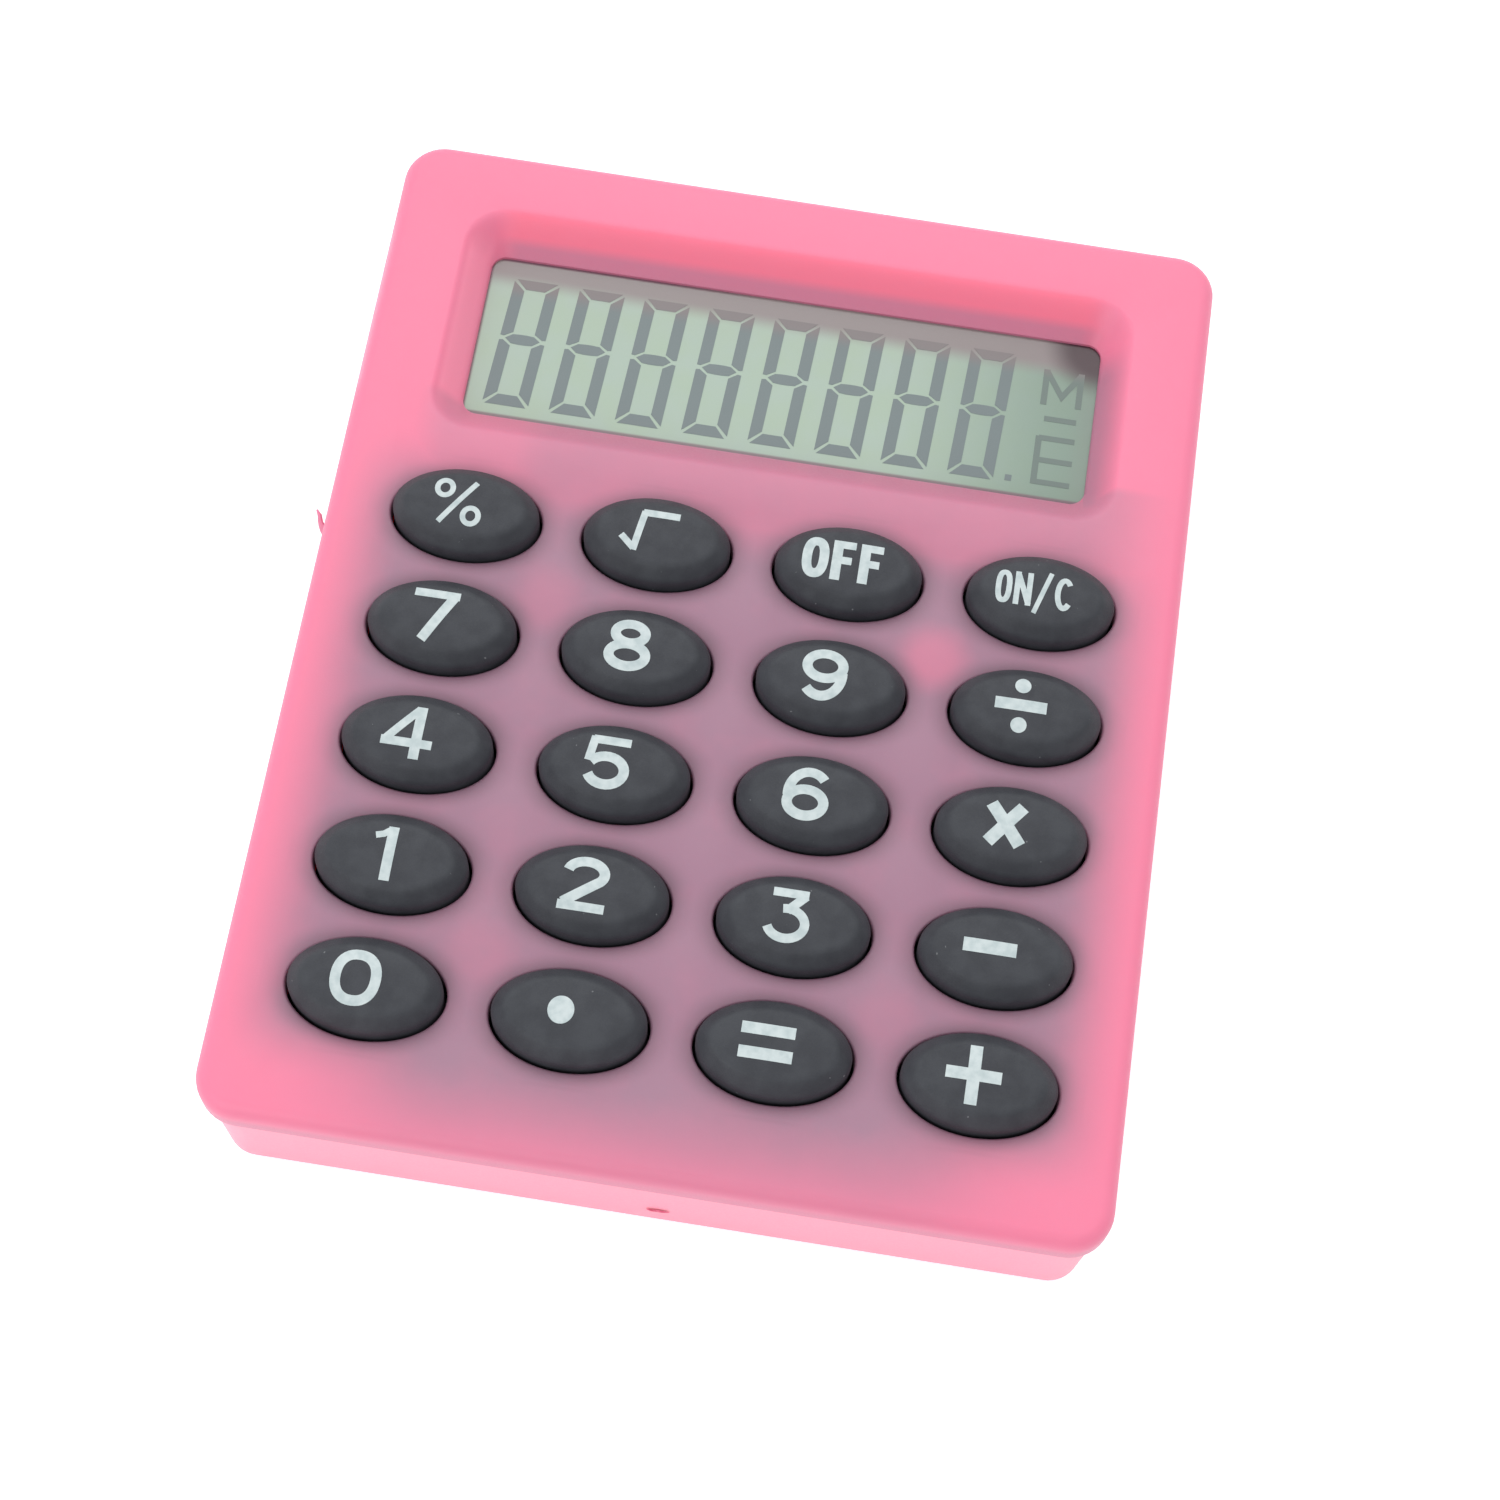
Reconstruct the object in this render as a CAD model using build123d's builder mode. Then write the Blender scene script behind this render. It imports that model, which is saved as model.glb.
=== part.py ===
from build123d import *
from math import atan, degrees
import os

# Pocket calculator: a frosted two-part case, a 20-key rubber keypad over a circuit board,
# an eight-digit liquid crystal display and one button cell behind a screwed door.
# Millimetres. +X is to the user's right, +Y towards the display, +Z out of the keypad face.
# The origin is the middle of the flat rear face.

os.makedirs("parts", exist_ok=True)

# ---- case ---------------------------------------------------------------------------------
CASE_W = 45.0            # front shell, across X
CASE_L = 56.0            # front shell, along Y
CASE_T = 10.0            # rear face to keypad face
CORNER_R = 2.2           # plan radius of the front shell's corners
FACE_EDGE_R = 0.8        # rounding between the face and the sides
PARTING_Z = 8.0          # where the rear shell meets the front shell
PLATE_T = 1.2            # thickness of the front shell's face plate
PLATE_Z = CASE_T - PLATE_T
SKIRT_T = 1.2            # wall of the front shell above the parting line
REAR_INSET_TOP = 0.3     # rear shell stands inside the front shell at the parting line
REAR_INSET_BASE = 0.5    # and a little more at the rear face, for draft
REAR_WALL_T = 1.2
REAR_FLOOR_T = 1.2
REAR_EDGE_R = 0.8
REAR_INNER_R = 0.5
REAR_DRAFT = degrees(atan((REAR_INSET_BASE - REAR_INSET_TOP) / PARTING_Z))
TONGUE_T = 0.6           # locating rim of the front shell, inside the rear wall
TONGUE_DROP = 0.8        # how far the rim reaches below the parting line
TONGUE_OUTER_R = 0.8
TONGUE_INNER_R = 0.3
FIT_GAP = 0.1            # clearance between parts that only locate each other

# ---- keypad -------------------------------------------------------------------------------
KEY_COLUMNS = 4
KEY_ROWS = 5
KEY_PITCH_X = 10.09
KEY_PITCH_Y = 6.548
KEYPAD_Y = -7.608        # middle of the key field
KEY_HALF_W = 3.85        # half axes of the elliptical keys
KEY_HALF_L = 2.45
KEY_RISE = 1.5           # key top above the face
KEY_BEVEL = 0.8          # slope between a key's side and its top
KEY_EDGE_R = 0.4         # softening where the slope meets the top
KEY_GAP = 0.15           # clearance between a key and its hole
KEY_NAMES = [
    ["percent", "root", "off", "on_clear"],
    ["7", "8", "9", "divide"],
    ["4", "5", "6", "multiply"],
    ["1", "2", "3", "minus"],
    ["0", "point", "equals", "plus"],
]
PILL_R = 1.5
PILL_T = 0.3
MAT_T = 0.8              # rubber sheet of the keypad
DOME_H = 0.7             # raised rim of the sheet round each key
DOME_T = 0.5             # width of that rim at its foot
DOME_GAP = 0.2           # clearance between the rim and the key
DOME_DRAFT = 15.0
MAT_EDGE = 0.4           # sheet left beyond the outer rims
MAT_R = 1.0
POST_GAP = 0.2           # clearance of the sheet round posts and bosses

# ---- circuit board ------------------------------------------------------------------------
BOARD_Z = 2.6            # underside of the board
BOARD_T = 1.0
BOARD_TOP = BOARD_Z + BOARD_T
BOARD_HALF_W = 19.8
BOARD_Y_MIN = -25.6
BOARD_Y_MAX = 11.4
BOARD_R = 0.6
BOARD_NOTCH_GAP = 0.3    # clearance of the board round the case bosses
PAD_R = 1.8
PAD_SLIT = 0.4           # gap between the two halves of a key's contact
PAD_T = 0.05
KEY_DROP = 0.7           # rest gap between a carbon pill and its contact
PILL_Z = BOARD_TOP + PAD_T + KEY_DROP
KEY_Z = PILL_Z + PILL_T  # underside of a key
KEY_H = CASE_T + KEY_RISE - KEY_Z

# ---- display ------------------------------------------------------------------------------
WINDOW_Y = 17.45         # middle of the window
WINDOW_W = 33.8          # opening over the display
WINDOW_L = 9.9
WINDOW_R = 0.7
RECESS_W = 36.8          # the same opening where the sloped frame meets the face
RECESS_L = 13.6
RECESS_R = 2.0
RECESS_D = 1.7           # depth of the sloped frame
COLLAR_T = 1.0           # wall round the window, behind the plate
WINDOW_LIP = 0.2         # straight part of the opening below the slope
DISPLAY_TOP = CASE_T - RECESS_D - WINDOW_LIP
POLARISER_T = 0.2
POLARISER_EDGE = 0.3     # glass left bare round each polariser
POLARISER_R = 0.3
GLASS_T = 0.7
GLASS_R = 0.2
DISPLAY_HALF_W = 18.2
DISPLAY_Y_MIN = 9.6
DISPLAY_Y_MAX = 23.2
LEDGE_L = 2.1            # strip of the front glass that carries the contacts
STRIP_HALF_W = 17.0
STRIP_L = 1.8
STRIP_GAP = 0.2

# ---- fasteners ----------------------------------------------------------------------------
CASE_SCREWS = [(sx * 18.9, sy * 24.5) for sx in (-1, 1) for sy in (-1, 1)]
CASE_BOSS_R = 1.8
CASE_BOSS_TOP = 3.0      # height where the two shells' bosses meet
FRONT_BOSS_R = 1.3
CASE_HEAD_R = 1.4
CASE_HEAD_D = 0.9
CASE_HEAD_SINK = 0.1     # the heads lie this far below the rear face
CASE_SHANK_R = 0.8
CASE_SCREW_TIP = 5.6
POST_X = KEY_PITCH_X
POST_Y = [KEYPAD_Y + sy * 1.5 * KEY_PITCH_Y for sy in (-1, 1)]
POSTS = [(sx * POST_X, y) for sx in (-1, 1) for y in POST_Y]
POST_R = 1.3
BOARD_SHANK_R = 0.5
BOARD_HEAD_R = 1.2
BOARD_HEAD_D = 0.6
BOARD_SCREW_TIP = 5.4
SCREW_HEAD_EDGE_R = 0.2
CASE_SLOT = 1.6          # length of each arm of the cross slots
BOARD_SLOT = 1.2
DOOR_SLOT = 1.4

# ---- battery ------------------------------------------------------------------------------
CELL_X = 6.5
CELL_Y = 17.8
CELL_R = 5.8             # an 11.6 x 3.05 mm button cell
CELL_H = 3.05
CELL_CAP_R = 4.8
CELL_CAP_H = 0.3
CELL_EDGE_R = 0.3
CUP_GAP = 0.25
CUP_T = 0.7
CUP_TOP = 3.8
CUP_MOUTH_W = 13.6       # opening of the cup towards the board
CUP_MOUTH_L = 4.0
DOOR_X = 4.0             # middle of the door
DOOR_W = 19.0
DOOR_L = 13.4
DOOR_R = 1.5
DOOR_T = 0.9
DOOR_GAP = 0.12
DOOR_CHAMFER = 0.15
DOOR_SCREW_X = -3.4
DOOR_BOSS_R = 1.7
DOOR_BOSS_TOP = 3.6
DOOR_HEAD_R = 1.2
DOOR_HEAD_D = 0.45
DOOR_SHANK_R = 0.6
DOOR_SCREW_TIP = 3.2
CONTACT_T = 0.15
CONTACT_FOOT_Y = 9.6     # where the contacts' feet end under the board
BLADE_X = 3.9            # left edge of the positive contact
BLADE_W = 2.8
LEAF_X = 7.5             # left edge of the negative contact
LEAF_W = 2.4
LEAF_GAP = 0.35          # clearance between the leaf and the can
LEAF_REACH = 2.0         # how far the leaf reaches past the middle of the cap

# ---- chip and supports under the board ----------------------------------------------------
CHIP_Y = -4.3
CHIP_R = 3.6
CHIP_H = 1.0
CAPACITOR_X = 6.4
CAPACITOR_Y = -6.5
CAPACITOR_W = 1.6
CAPACITOR_L = 0.8
CAPACITOR_H = 0.8
CAPACITOR_R = 0.12
SUPPORTS = [(0, 5.488), (0, -17.43), (-15.135, -7.608), (15.135, -7.608)]
SUPPORT_R = 0.9
RIB_X = 17.3             # ribs under the ends of the display
RIB_T = 1.0
RIB_L = 9.0

KEY_CENTRES = [
    (name, (column - 1.5) * KEY_PITCH_X, KEYPAD_Y + (2 - row) * KEY_PITCH_Y)
    for row, names in enumerate(KEY_NAMES)
    for column, name in enumerate(names)
]
KEY_POINTS = [(x, y) for _, x, y in KEY_CENTRES]


# ---- rear shell: drafted tray with bosses, supports, cell cup and door pocket -------------
with BuildPart() as rear_shell:
    with BuildSketch():
        RectangleRounded(
            CASE_W - 2 * REAR_INSET_BASE, CASE_L - 2 * REAR_INSET_BASE, CORNER_R - REAR_INSET_BASE
        )
    extrude(amount=PARTING_Z, taper=-REAR_DRAFT)
    fillet(rear_shell.faces().sort_by(Axis.Z)[0].edges(), REAR_EDGE_R)
    floor_inset = REAR_INSET_TOP + REAR_WALL_T
    floor_inset += (REAR_INSET_BASE - REAR_INSET_TOP) * (1 - REAR_FLOOR_T / PARTING_Z)
    with BuildSketch(Plane.XY.offset(REAR_FLOOR_T)):
        RectangleRounded(CASE_W - 2 * floor_inset, CASE_L - 2 * floor_inset, REAR_INNER_R)
    extrude(amount=PARTING_Z - REAR_FLOOR_T, taper=-REAR_DRAFT, mode=Mode.SUBTRACT)
    with BuildSketch(Plane.XY.offset(REAR_FLOOR_T)):
        with Locations(*CASE_SCREWS):
            Circle(CASE_BOSS_R)
    extrude(amount=CASE_BOSS_TOP - REAR_FLOOR_T)
    with BuildSketch(Plane.XY.offset(REAR_FLOOR_T)):
        with Locations(*SUPPORTS):
            Circle(SUPPORT_R)
    extrude(amount=BOARD_Z - REAR_FLOOR_T)
    with BuildSketch(Plane.XY.offset(REAR_FLOOR_T)):
        with Locations((-RIB_X, WINDOW_Y), (RIB_X, WINDOW_Y)):
            Rectangle(RIB_T, RIB_L)
    extrude(amount=DISPLAY_TOP - 2 * POLARISER_T - 2 * GLASS_T - REAR_FLOOR_T)
    with BuildSketch(Plane.XY.offset(REAR_FLOOR_T)):
        with Locations((CELL_X, CELL_Y)):
            Circle(CELL_R + CUP_GAP + CUP_T)
            Circle(CELL_R + CUP_GAP, mode=Mode.SUBTRACT)
        with Locations((CELL_X, BOARD_Y_MAX)):
            Rectangle(CUP_MOUTH_W, CUP_MOUTH_L, mode=Mode.SUBTRACT)
    extrude(amount=CUP_TOP - REAR_FLOOR_T)
    with BuildSketch(Plane.XY.offset(REAR_FLOOR_T)):
        with Locations((DOOR_SCREW_X, CELL_Y)):
            Circle(DOOR_BOSS_R)
    extrude(amount=DOOR_BOSS_TOP - REAR_FLOOR_T)
    with BuildSketch():
        with Locations((DOOR_X, CELL_Y)):
            RectangleRounded(DOOR_W + 2 * DOOR_GAP, DOOR_L + 2 * DOOR_GAP, DOOR_R + DOOR_GAP)
    extrude(amount=DOOR_T, mode=Mode.SUBTRACT)
    with BuildSketch(Plane.XY.offset(DOOR_T)):
        with Locations((CELL_X, CELL_Y)):
            Circle(CELL_R + CUP_GAP)
    extrude(amount=REAR_FLOOR_T - DOOR_T, mode=Mode.SUBTRACT)
    with BuildSketch(Plane.XY.offset(DOOR_T)):
        with Locations((DOOR_SCREW_X, CELL_Y)):
            Circle(DOOR_SHANK_R)
    extrude(amount=DOOR_BOSS_TOP - DOOR_T, mode=Mode.SUBTRACT)
    with Locations(*[Location((x, y, 0), (180, 0, 0)) for x, y in CASE_SCREWS]):
        CounterBoreHole(
            CASE_SHANK_R + FIT_GAP, CASE_HEAD_R + FIT_GAP, CASE_HEAD_SINK + CASE_HEAD_D, CASE_BOSS_TOP
        )
rear_shell.part.label = "rear_shell"
export_step(rear_shell.part, "parts/rear_shell.step")


# ---- front shell: face plate with a skirt, key holes, window frame, posts and bosses ------
with BuildPart() as front_shell:
    with BuildSketch(Plane.XY.offset(PARTING_Z)):
        RectangleRounded(CASE_W, CASE_L, CORNER_R)
    extrude(amount=CASE_T - PARTING_Z)
    fillet(front_shell.faces().sort_by(Axis.Z)[-1].edges(), FACE_EDGE_R)
    with BuildSketch(Plane.XY.offset(PARTING_Z)):
        RectangleRounded(CASE_W - 2 * SKIRT_T, CASE_L - 2 * SKIRT_T, CORNER_R - SKIRT_T)
    extrude(amount=PLATE_Z - PARTING_Z, mode=Mode.SUBTRACT)
    tongue_inset = REAR_INSET_TOP + REAR_WALL_T + FIT_GAP + TONGUE_DROP * (
        REAR_INSET_BASE - REAR_INSET_TOP
    ) / PARTING_Z
    with BuildSketch(Plane.XY.offset(PARTING_Z - TONGUE_DROP)):
        RectangleRounded(CASE_W - 2 * tongue_inset, CASE_L - 2 * tongue_inset, TONGUE_OUTER_R)
        RectangleRounded(
            CASE_W - 2 * tongue_inset - 2 * TONGUE_T,
            CASE_L - 2 * tongue_inset - 2 * TONGUE_T,
            TONGUE_INNER_R,
            mode=Mode.SUBTRACT,
        )
    extrude(amount=PLATE_Z - PARTING_Z + TONGUE_DROP)
    with BuildSketch(Plane.XY.offset(DISPLAY_TOP)):
        with Locations((0, WINDOW_Y)):
            RectangleRounded(WINDOW_W + 2 * COLLAR_T, WINDOW_L + 2 * COLLAR_T, WINDOW_R + COLLAR_T)
    extrude(amount=PLATE_Z - DISPLAY_TOP)
    with BuildSketch(Plane.XY.offset(CASE_T)):
        with Locations((0, WINDOW_Y)):
            RectangleRounded(RECESS_W, RECESS_L, RECESS_R)
    with BuildSketch(Plane.XY.offset(CASE_T - RECESS_D)):
        with Locations((0, WINDOW_Y)):
            RectangleRounded(WINDOW_W, WINDOW_L, WINDOW_R)
    loft(mode=Mode.SUBTRACT)
    with BuildSketch(Plane.XY.offset(DISPLAY_TOP)):
        with Locations((0, WINDOW_Y)):
            RectangleRounded(WINDOW_W, WINDOW_L, WINDOW_R)
    extrude(amount=CASE_T - RECESS_D - DISPLAY_TOP, mode=Mode.SUBTRACT)
    with BuildSketch(Plane.XY.offset(CASE_BOSS_TOP)):
        with Locations(*CASE_SCREWS):
            Circle(FRONT_BOSS_R)
    extrude(amount=PLATE_Z - CASE_BOSS_TOP)
    with BuildSketch(Plane.XY.offset(CASE_BOSS_TOP)):
        with Locations(*CASE_SCREWS):
            Circle(CASE_SHANK_R)
    extrude(amount=CASE_SCREW_TIP - CASE_BOSS_TOP, mode=Mode.SUBTRACT)
    with BuildSketch(Plane.XY.offset(BOARD_TOP)):
        with Locations(*POSTS):
            Circle(POST_R)
    extrude(amount=PLATE_Z - BOARD_TOP)
    with BuildSketch(Plane.XY.offset(BOARD_TOP)):
        with Locations(*POSTS):
            Circle(BOARD_SHANK_R)
    extrude(amount=BOARD_SCREW_TIP - BOARD_TOP, mode=Mode.SUBTRACT)
    with BuildSketch(Plane.XY.offset(PLATE_Z)):
        with Locations(*KEY_POINTS):
            Ellipse(KEY_HALF_W + KEY_GAP, KEY_HALF_L + KEY_GAP)
    extrude(amount=PLATE_T, mode=Mode.SUBTRACT)
front_shell.part.label = "front_shell"
export_step(front_shell.part, "parts/front_shell.step")


# ---- keys, each with the carbon pill that closes its contact ------------------------------
for name, x, y in KEY_CENTRES:
    with BuildPart() as key:
        with BuildSketch(Plane.XY.offset(KEY_Z)):
            with Locations((x, y)):
                Ellipse(KEY_HALF_W, KEY_HALF_L)
        extrude(amount=KEY_H)
        chamfer(key.faces().sort_by(Axis.Z)[-1].edges(), KEY_BEVEL)
        fillet(key.faces().sort_by(Axis.Z)[-1].edges(), KEY_EDGE_R)
    key.part.label = f"key_{name}"
    export_step(key.part, f"parts/key_{name}.step")

    with BuildPart() as pill:
        with BuildSketch(Plane.XY.offset(PILL_Z)):
            with Locations((x, y)):
                Circle(PILL_R)
        extrude(amount=PILL_T)
    pill.part.label = f"carbon_pill_{name}"
    export_step(pill.part, f"parts/carbon_pill_{name}.step")


# ---- keypad mat: the rubber sheet the keys are moulded into, with a raised rim round each --
with BuildPart() as keypad_mat:
    mat_y_max = KEYPAD_Y + 2 * KEY_PITCH_Y + KEY_HALF_L + DOME_T + MAT_EDGE
    mat_y_min = KEYPAD_Y - 2 * KEY_PITCH_Y - KEY_HALF_L - DOME_T - MAT_EDGE
    with BuildSketch(Plane.XY.offset(BOARD_TOP)):
        with Locations((0, (mat_y_max + mat_y_min) / 2)):
            RectangleRounded(2 * BOARD_HALF_W, mat_y_max - mat_y_min, MAT_R)
    extrude(amount=MAT_T)
    with BuildSketch(Plane.XY.offset(BOARD_TOP + MAT_T)):
        with Locations(*KEY_POINTS):
            Ellipse(KEY_HALF_W + DOME_T, KEY_HALF_L + DOME_T)
    extrude(amount=DOME_H, taper=DOME_DRAFT)
    with BuildSketch(Plane.XY.offset(BOARD_TOP)):
        with Locations(*KEY_POINTS):
            Ellipse(KEY_HALF_W + DOME_GAP, KEY_HALF_L + DOME_GAP)
    extrude(amount=MAT_T + DOME_H, mode=Mode.SUBTRACT)
    with BuildSketch(Plane.XY.offset(BOARD_TOP)):
        with Locations(*POSTS):
            Circle(POST_R + POST_GAP)
        with Locations(*CASE_SCREWS):
            Circle(CASE_BOSS_R + POST_GAP)
    extrude(amount=MAT_T + DOME_H, mode=Mode.SUBTRACT)
keypad_mat.part.label = "keypad_mat"
export_step(keypad_mat.part, "parts/keypad_mat.step")


# ---- circuit board with screw holes and corner notches -------------------------------------
with BuildPart() as circuit_board:
    with BuildSketch(Plane.XY.offset(BOARD_Z)):
        with Locations((0, (BOARD_Y_MAX + BOARD_Y_MIN) / 2)):
            RectangleRounded(2 * BOARD_HALF_W, BOARD_Y_MAX - BOARD_Y_MIN, BOARD_R)
        with Locations(*CASE_SCREWS):
            Circle(CASE_BOSS_R + BOARD_NOTCH_GAP, mode=Mode.SUBTRACT)
        with Locations(*POSTS):
            Circle(BOARD_SHANK_R, mode=Mode.SUBTRACT)
    extrude(amount=BOARD_T)
circuit_board.part.label = "circuit_board"
export_step(circuit_board.part, "parts/circuit_board.step")


# ---- contact pads: two half discs under each key ------------------------------------------
with BuildPart() as contact_pads:
    with BuildSketch(Plane.XY.offset(BOARD_TOP)):
        with Locations(*KEY_POINTS):
            Circle(PAD_R)
            Rectangle(PAD_SLIT, 2 * PAD_R, mode=Mode.SUBTRACT)
    extrude(amount=PAD_T)
contact_pads.part.label = "contact_pads"
export_step(contact_pads.part, "parts/contact_pads.step")


# ---- chip under a drop of resin, and the capacitor beside it, on the board's rear side -----
with BuildPart() as chip_blob:
    blob_r = (CHIP_R**2 + CHIP_H**2) / (2 * CHIP_H)
    with BuildSketch(Plane.XZ.offset(-CHIP_Y)):
        with BuildLine():
            Line((0, BOARD_Z), (CHIP_R, BOARD_Z))
            RadiusArc((CHIP_R, BOARD_Z), (0, BOARD_Z - CHIP_H), blob_r)
            Line((0, BOARD_Z - CHIP_H), (0, BOARD_Z))
        make_face()
    revolve(axis=Axis((0, CHIP_Y, 0), (0, 0, 1)))
chip_blob.part.label = "chip_blob"
export_step(chip_blob.part, "parts/chip_blob.step")

with BuildPart() as chip_capacitor:
    with BuildSketch(Plane.XY.offset(BOARD_Z - CAPACITOR_H)):
        with Locations((CAPACITOR_X, CAPACITOR_Y)):
            Rectangle(CAPACITOR_W, CAPACITOR_L)
    extrude(amount=CAPACITOR_H)
    fillet(chip_capacitor.edges().filter_by(Axis.Z), CAPACITOR_R)
chip_capacitor.part.label = "chip_capacitor"
export_step(chip_capacitor.part, "parts/chip_capacitor.step")


# ---- display: two glasses between two polarisers ------------------------------------------
def display_layer(top, thickness, half_w, y_min, y_max, radius):
    with BuildPart() as layer:
        with BuildSketch(Plane.XY.offset(top - thickness)):
            with Locations((0, (y_min + y_max) / 2)):
                RectangleRounded(2 * half_w, y_max - y_min, radius)
        extrude(amount=thickness)
    return layer.part


FRONT_GLASS_TOP = DISPLAY_TOP - POLARISER_T
REAR_GLASS_TOP = FRONT_GLASS_TOP - GLASS_T
REAR_POLARISER_TOP = REAR_GLASS_TOP - GLASS_T
LEDGE_Y = DISPLAY_Y_MIN + LEDGE_L

lcd_front_polariser = display_layer(
    DISPLAY_TOP,
    POLARISER_T,
    DISPLAY_HALF_W - POLARISER_EDGE,
    LEDGE_Y,
    DISPLAY_Y_MAX - POLARISER_EDGE,
    POLARISER_R,
)
lcd_front_polariser.label = "lcd_front_polariser"
export_step(lcd_front_polariser, "parts/lcd_front_polariser.step")

lcd_front_glass = display_layer(
    FRONT_GLASS_TOP, GLASS_T, DISPLAY_HALF_W, DISPLAY_Y_MIN, DISPLAY_Y_MAX, GLASS_R
)
lcd_front_glass.label = "lcd_front_glass"
export_step(lcd_front_glass, "parts/lcd_front_glass.step")

lcd_rear_glass = display_layer(
    REAR_GLASS_TOP, GLASS_T, DISPLAY_HALF_W, LEDGE_Y, DISPLAY_Y_MAX, GLASS_R
)
lcd_rear_glass.label = "lcd_rear_glass"
export_step(lcd_rear_glass, "parts/lcd_rear_glass.step")

lcd_reflector = display_layer(
    REAR_POLARISER_TOP,
    POLARISER_T,
    DISPLAY_HALF_W - POLARISER_EDGE,
    LEDGE_Y + POLARISER_EDGE,
    DISPLAY_Y_MAX - POLARISER_EDGE,
    POLARISER_R,
)
lcd_reflector.label = "lcd_reflector"
export_step(lcd_reflector, "parts/lcd_reflector.step")


# ---- zebra strip: rubber connector between the board and the glass ledge -------------------
with BuildPart() as zebra_strip:
    with BuildSketch(Plane.XY.offset(BOARD_TOP)):
        with Locations((0, LEDGE_Y - STRIP_GAP - STRIP_L / 2)):
            Rectangle(2 * STRIP_HALF_W, STRIP_L)
    extrude(amount=REAR_GLASS_TOP - BOARD_TOP)
zebra_strip.part.label = "zebra_strip"
export_step(zebra_strip.part, "parts/zebra_strip.step")


# ---- button cell: can with a raised cap ---------------------------------------------------
with BuildPart() as button_cell:
    with BuildSketch(Plane.XY.offset(DOOR_T)):
        with Locations((CELL_X, CELL_Y)):
            Circle(CELL_R)
    extrude(amount=CELL_H - CELL_CAP_H)
    fillet(button_cell.edges().group_by(Axis.Z)[0], CELL_EDGE_R)
    with BuildSketch(Plane.XY.offset(DOOR_T + CELL_H - CELL_CAP_H)):
        with Locations((CELL_X, CELL_Y)):
            Circle(CELL_CAP_R)
    extrude(amount=CELL_CAP_H)
button_cell.part.label = "button_cell"
export_step(button_cell.part, "parts/button_cell.step")


# ---- cell contacts: a side blade on the can and a leaf over the cap -------------------------
CELL_TOP = DOOR_T + CELL_H
BLADE_Y = CELL_Y - CELL_R - CONTACT_T
LEAF_Y = CELL_Y - CELL_R - LEAF_GAP
with BuildPart() as cell_contact_positive:
    with BuildSketch(Plane.YZ.offset(BLADE_X)):
        with BuildLine():
            Polyline(
                (CONTACT_FOOT_Y, BOARD_Z),
                (CONTACT_FOOT_Y, BOARD_Z - CONTACT_T),
                (BLADE_Y + CONTACT_T, BOARD_Z - CONTACT_T),
                (BLADE_Y + CONTACT_T, CELL_TOP - CELL_CAP_H),
                (BLADE_Y, CELL_TOP - CELL_CAP_H),
                (BLADE_Y, BOARD_Z),
                close=True,
            )
        make_face()
    extrude(amount=BLADE_W)
cell_contact_positive.part.label = "cell_contact_positive"
export_step(cell_contact_positive.part, "parts/cell_contact_positive.step")

with BuildPart() as cell_contact_negative:
    with BuildSketch(Plane.YZ.offset(LEAF_X)):
        with BuildLine():
            Polyline(
                (CONTACT_FOOT_Y, BOARD_Z),
                (CONTACT_FOOT_Y, BOARD_Z - CONTACT_T),
                (LEAF_Y, BOARD_Z - CONTACT_T),
                (LEAF_Y, CELL_TOP),
                (CELL_Y + LEAF_REACH, CELL_TOP),
                (CELL_Y + LEAF_REACH, CELL_TOP + CONTACT_T),
                (LEAF_Y - CONTACT_T, CELL_TOP + CONTACT_T),
                (LEAF_Y - CONTACT_T, BOARD_Z),
                close=True,
            )
        make_face()
    extrude(amount=LEAF_W)
cell_contact_negative.part.label = "cell_contact_negative"
export_step(cell_contact_negative.part, "parts/cell_contact_negative.step")


# ---- battery door, flush with the rear face -------------------------------------------------
with BuildPart() as battery_door:
    with BuildSketch():
        with Locations((DOOR_X, CELL_Y)):
            RectangleRounded(DOOR_W, DOOR_L, DOOR_R)
    extrude(amount=DOOR_T)
    chamfer(battery_door.faces().sort_by(Axis.Z)[0].edges(), DOOR_CHAMFER)
    with Locations(Location((DOOR_SCREW_X, CELL_Y, 0), (180, 0, 0))):
        CounterBoreHole(
            DOOR_SHANK_R + FIT_GAP / 2, DOOR_HEAD_R + FIT_GAP, CASE_HEAD_SINK + DOOR_HEAD_D, DOOR_T
        )
battery_door.part.label = "battery_door"
export_step(battery_door.part, "parts/battery_door.step")


# ---- screws: pan heads with a cross slot, plain shanks --------------------------------------
def screws(points, head_z, head_r, head_h, shank_r, tip_z, slot):
    """Screws that point up, with the drive slot in the lower face of each head."""
    with BuildPart() as batch:
        with BuildSketch(Plane.XY.offset(head_z)):
            with Locations(*points):
                Circle(head_r)
        extrude(amount=head_h)
        fillet(batch.edges().group_by(Axis.Z)[0], min(SCREW_HEAD_EDGE_R, head_h / 3))
        with BuildSketch(Plane.XY.offset(head_z + head_h)):
            with Locations(*points):
                Circle(shank_r)
        extrude(amount=tip_z - head_z - head_h)
        chamfer(batch.edges().group_by(Axis.Z)[-1], shank_r / 2)
        with BuildSketch(Plane.XY.offset(head_z)):
            with Locations(*points):
                Rectangle(slot, slot / 4)
                Rectangle(slot / 4, slot)
        extrude(amount=head_h / 2, mode=Mode.SUBTRACT)
    return batch.part


case_screws = screws(
    CASE_SCREWS, CASE_HEAD_SINK, CASE_HEAD_R, CASE_HEAD_D, CASE_SHANK_R, CASE_SCREW_TIP, CASE_SLOT
)
case_screws.label = "case_screws"
export_step(case_screws, "parts/case_screws.step")

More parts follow.
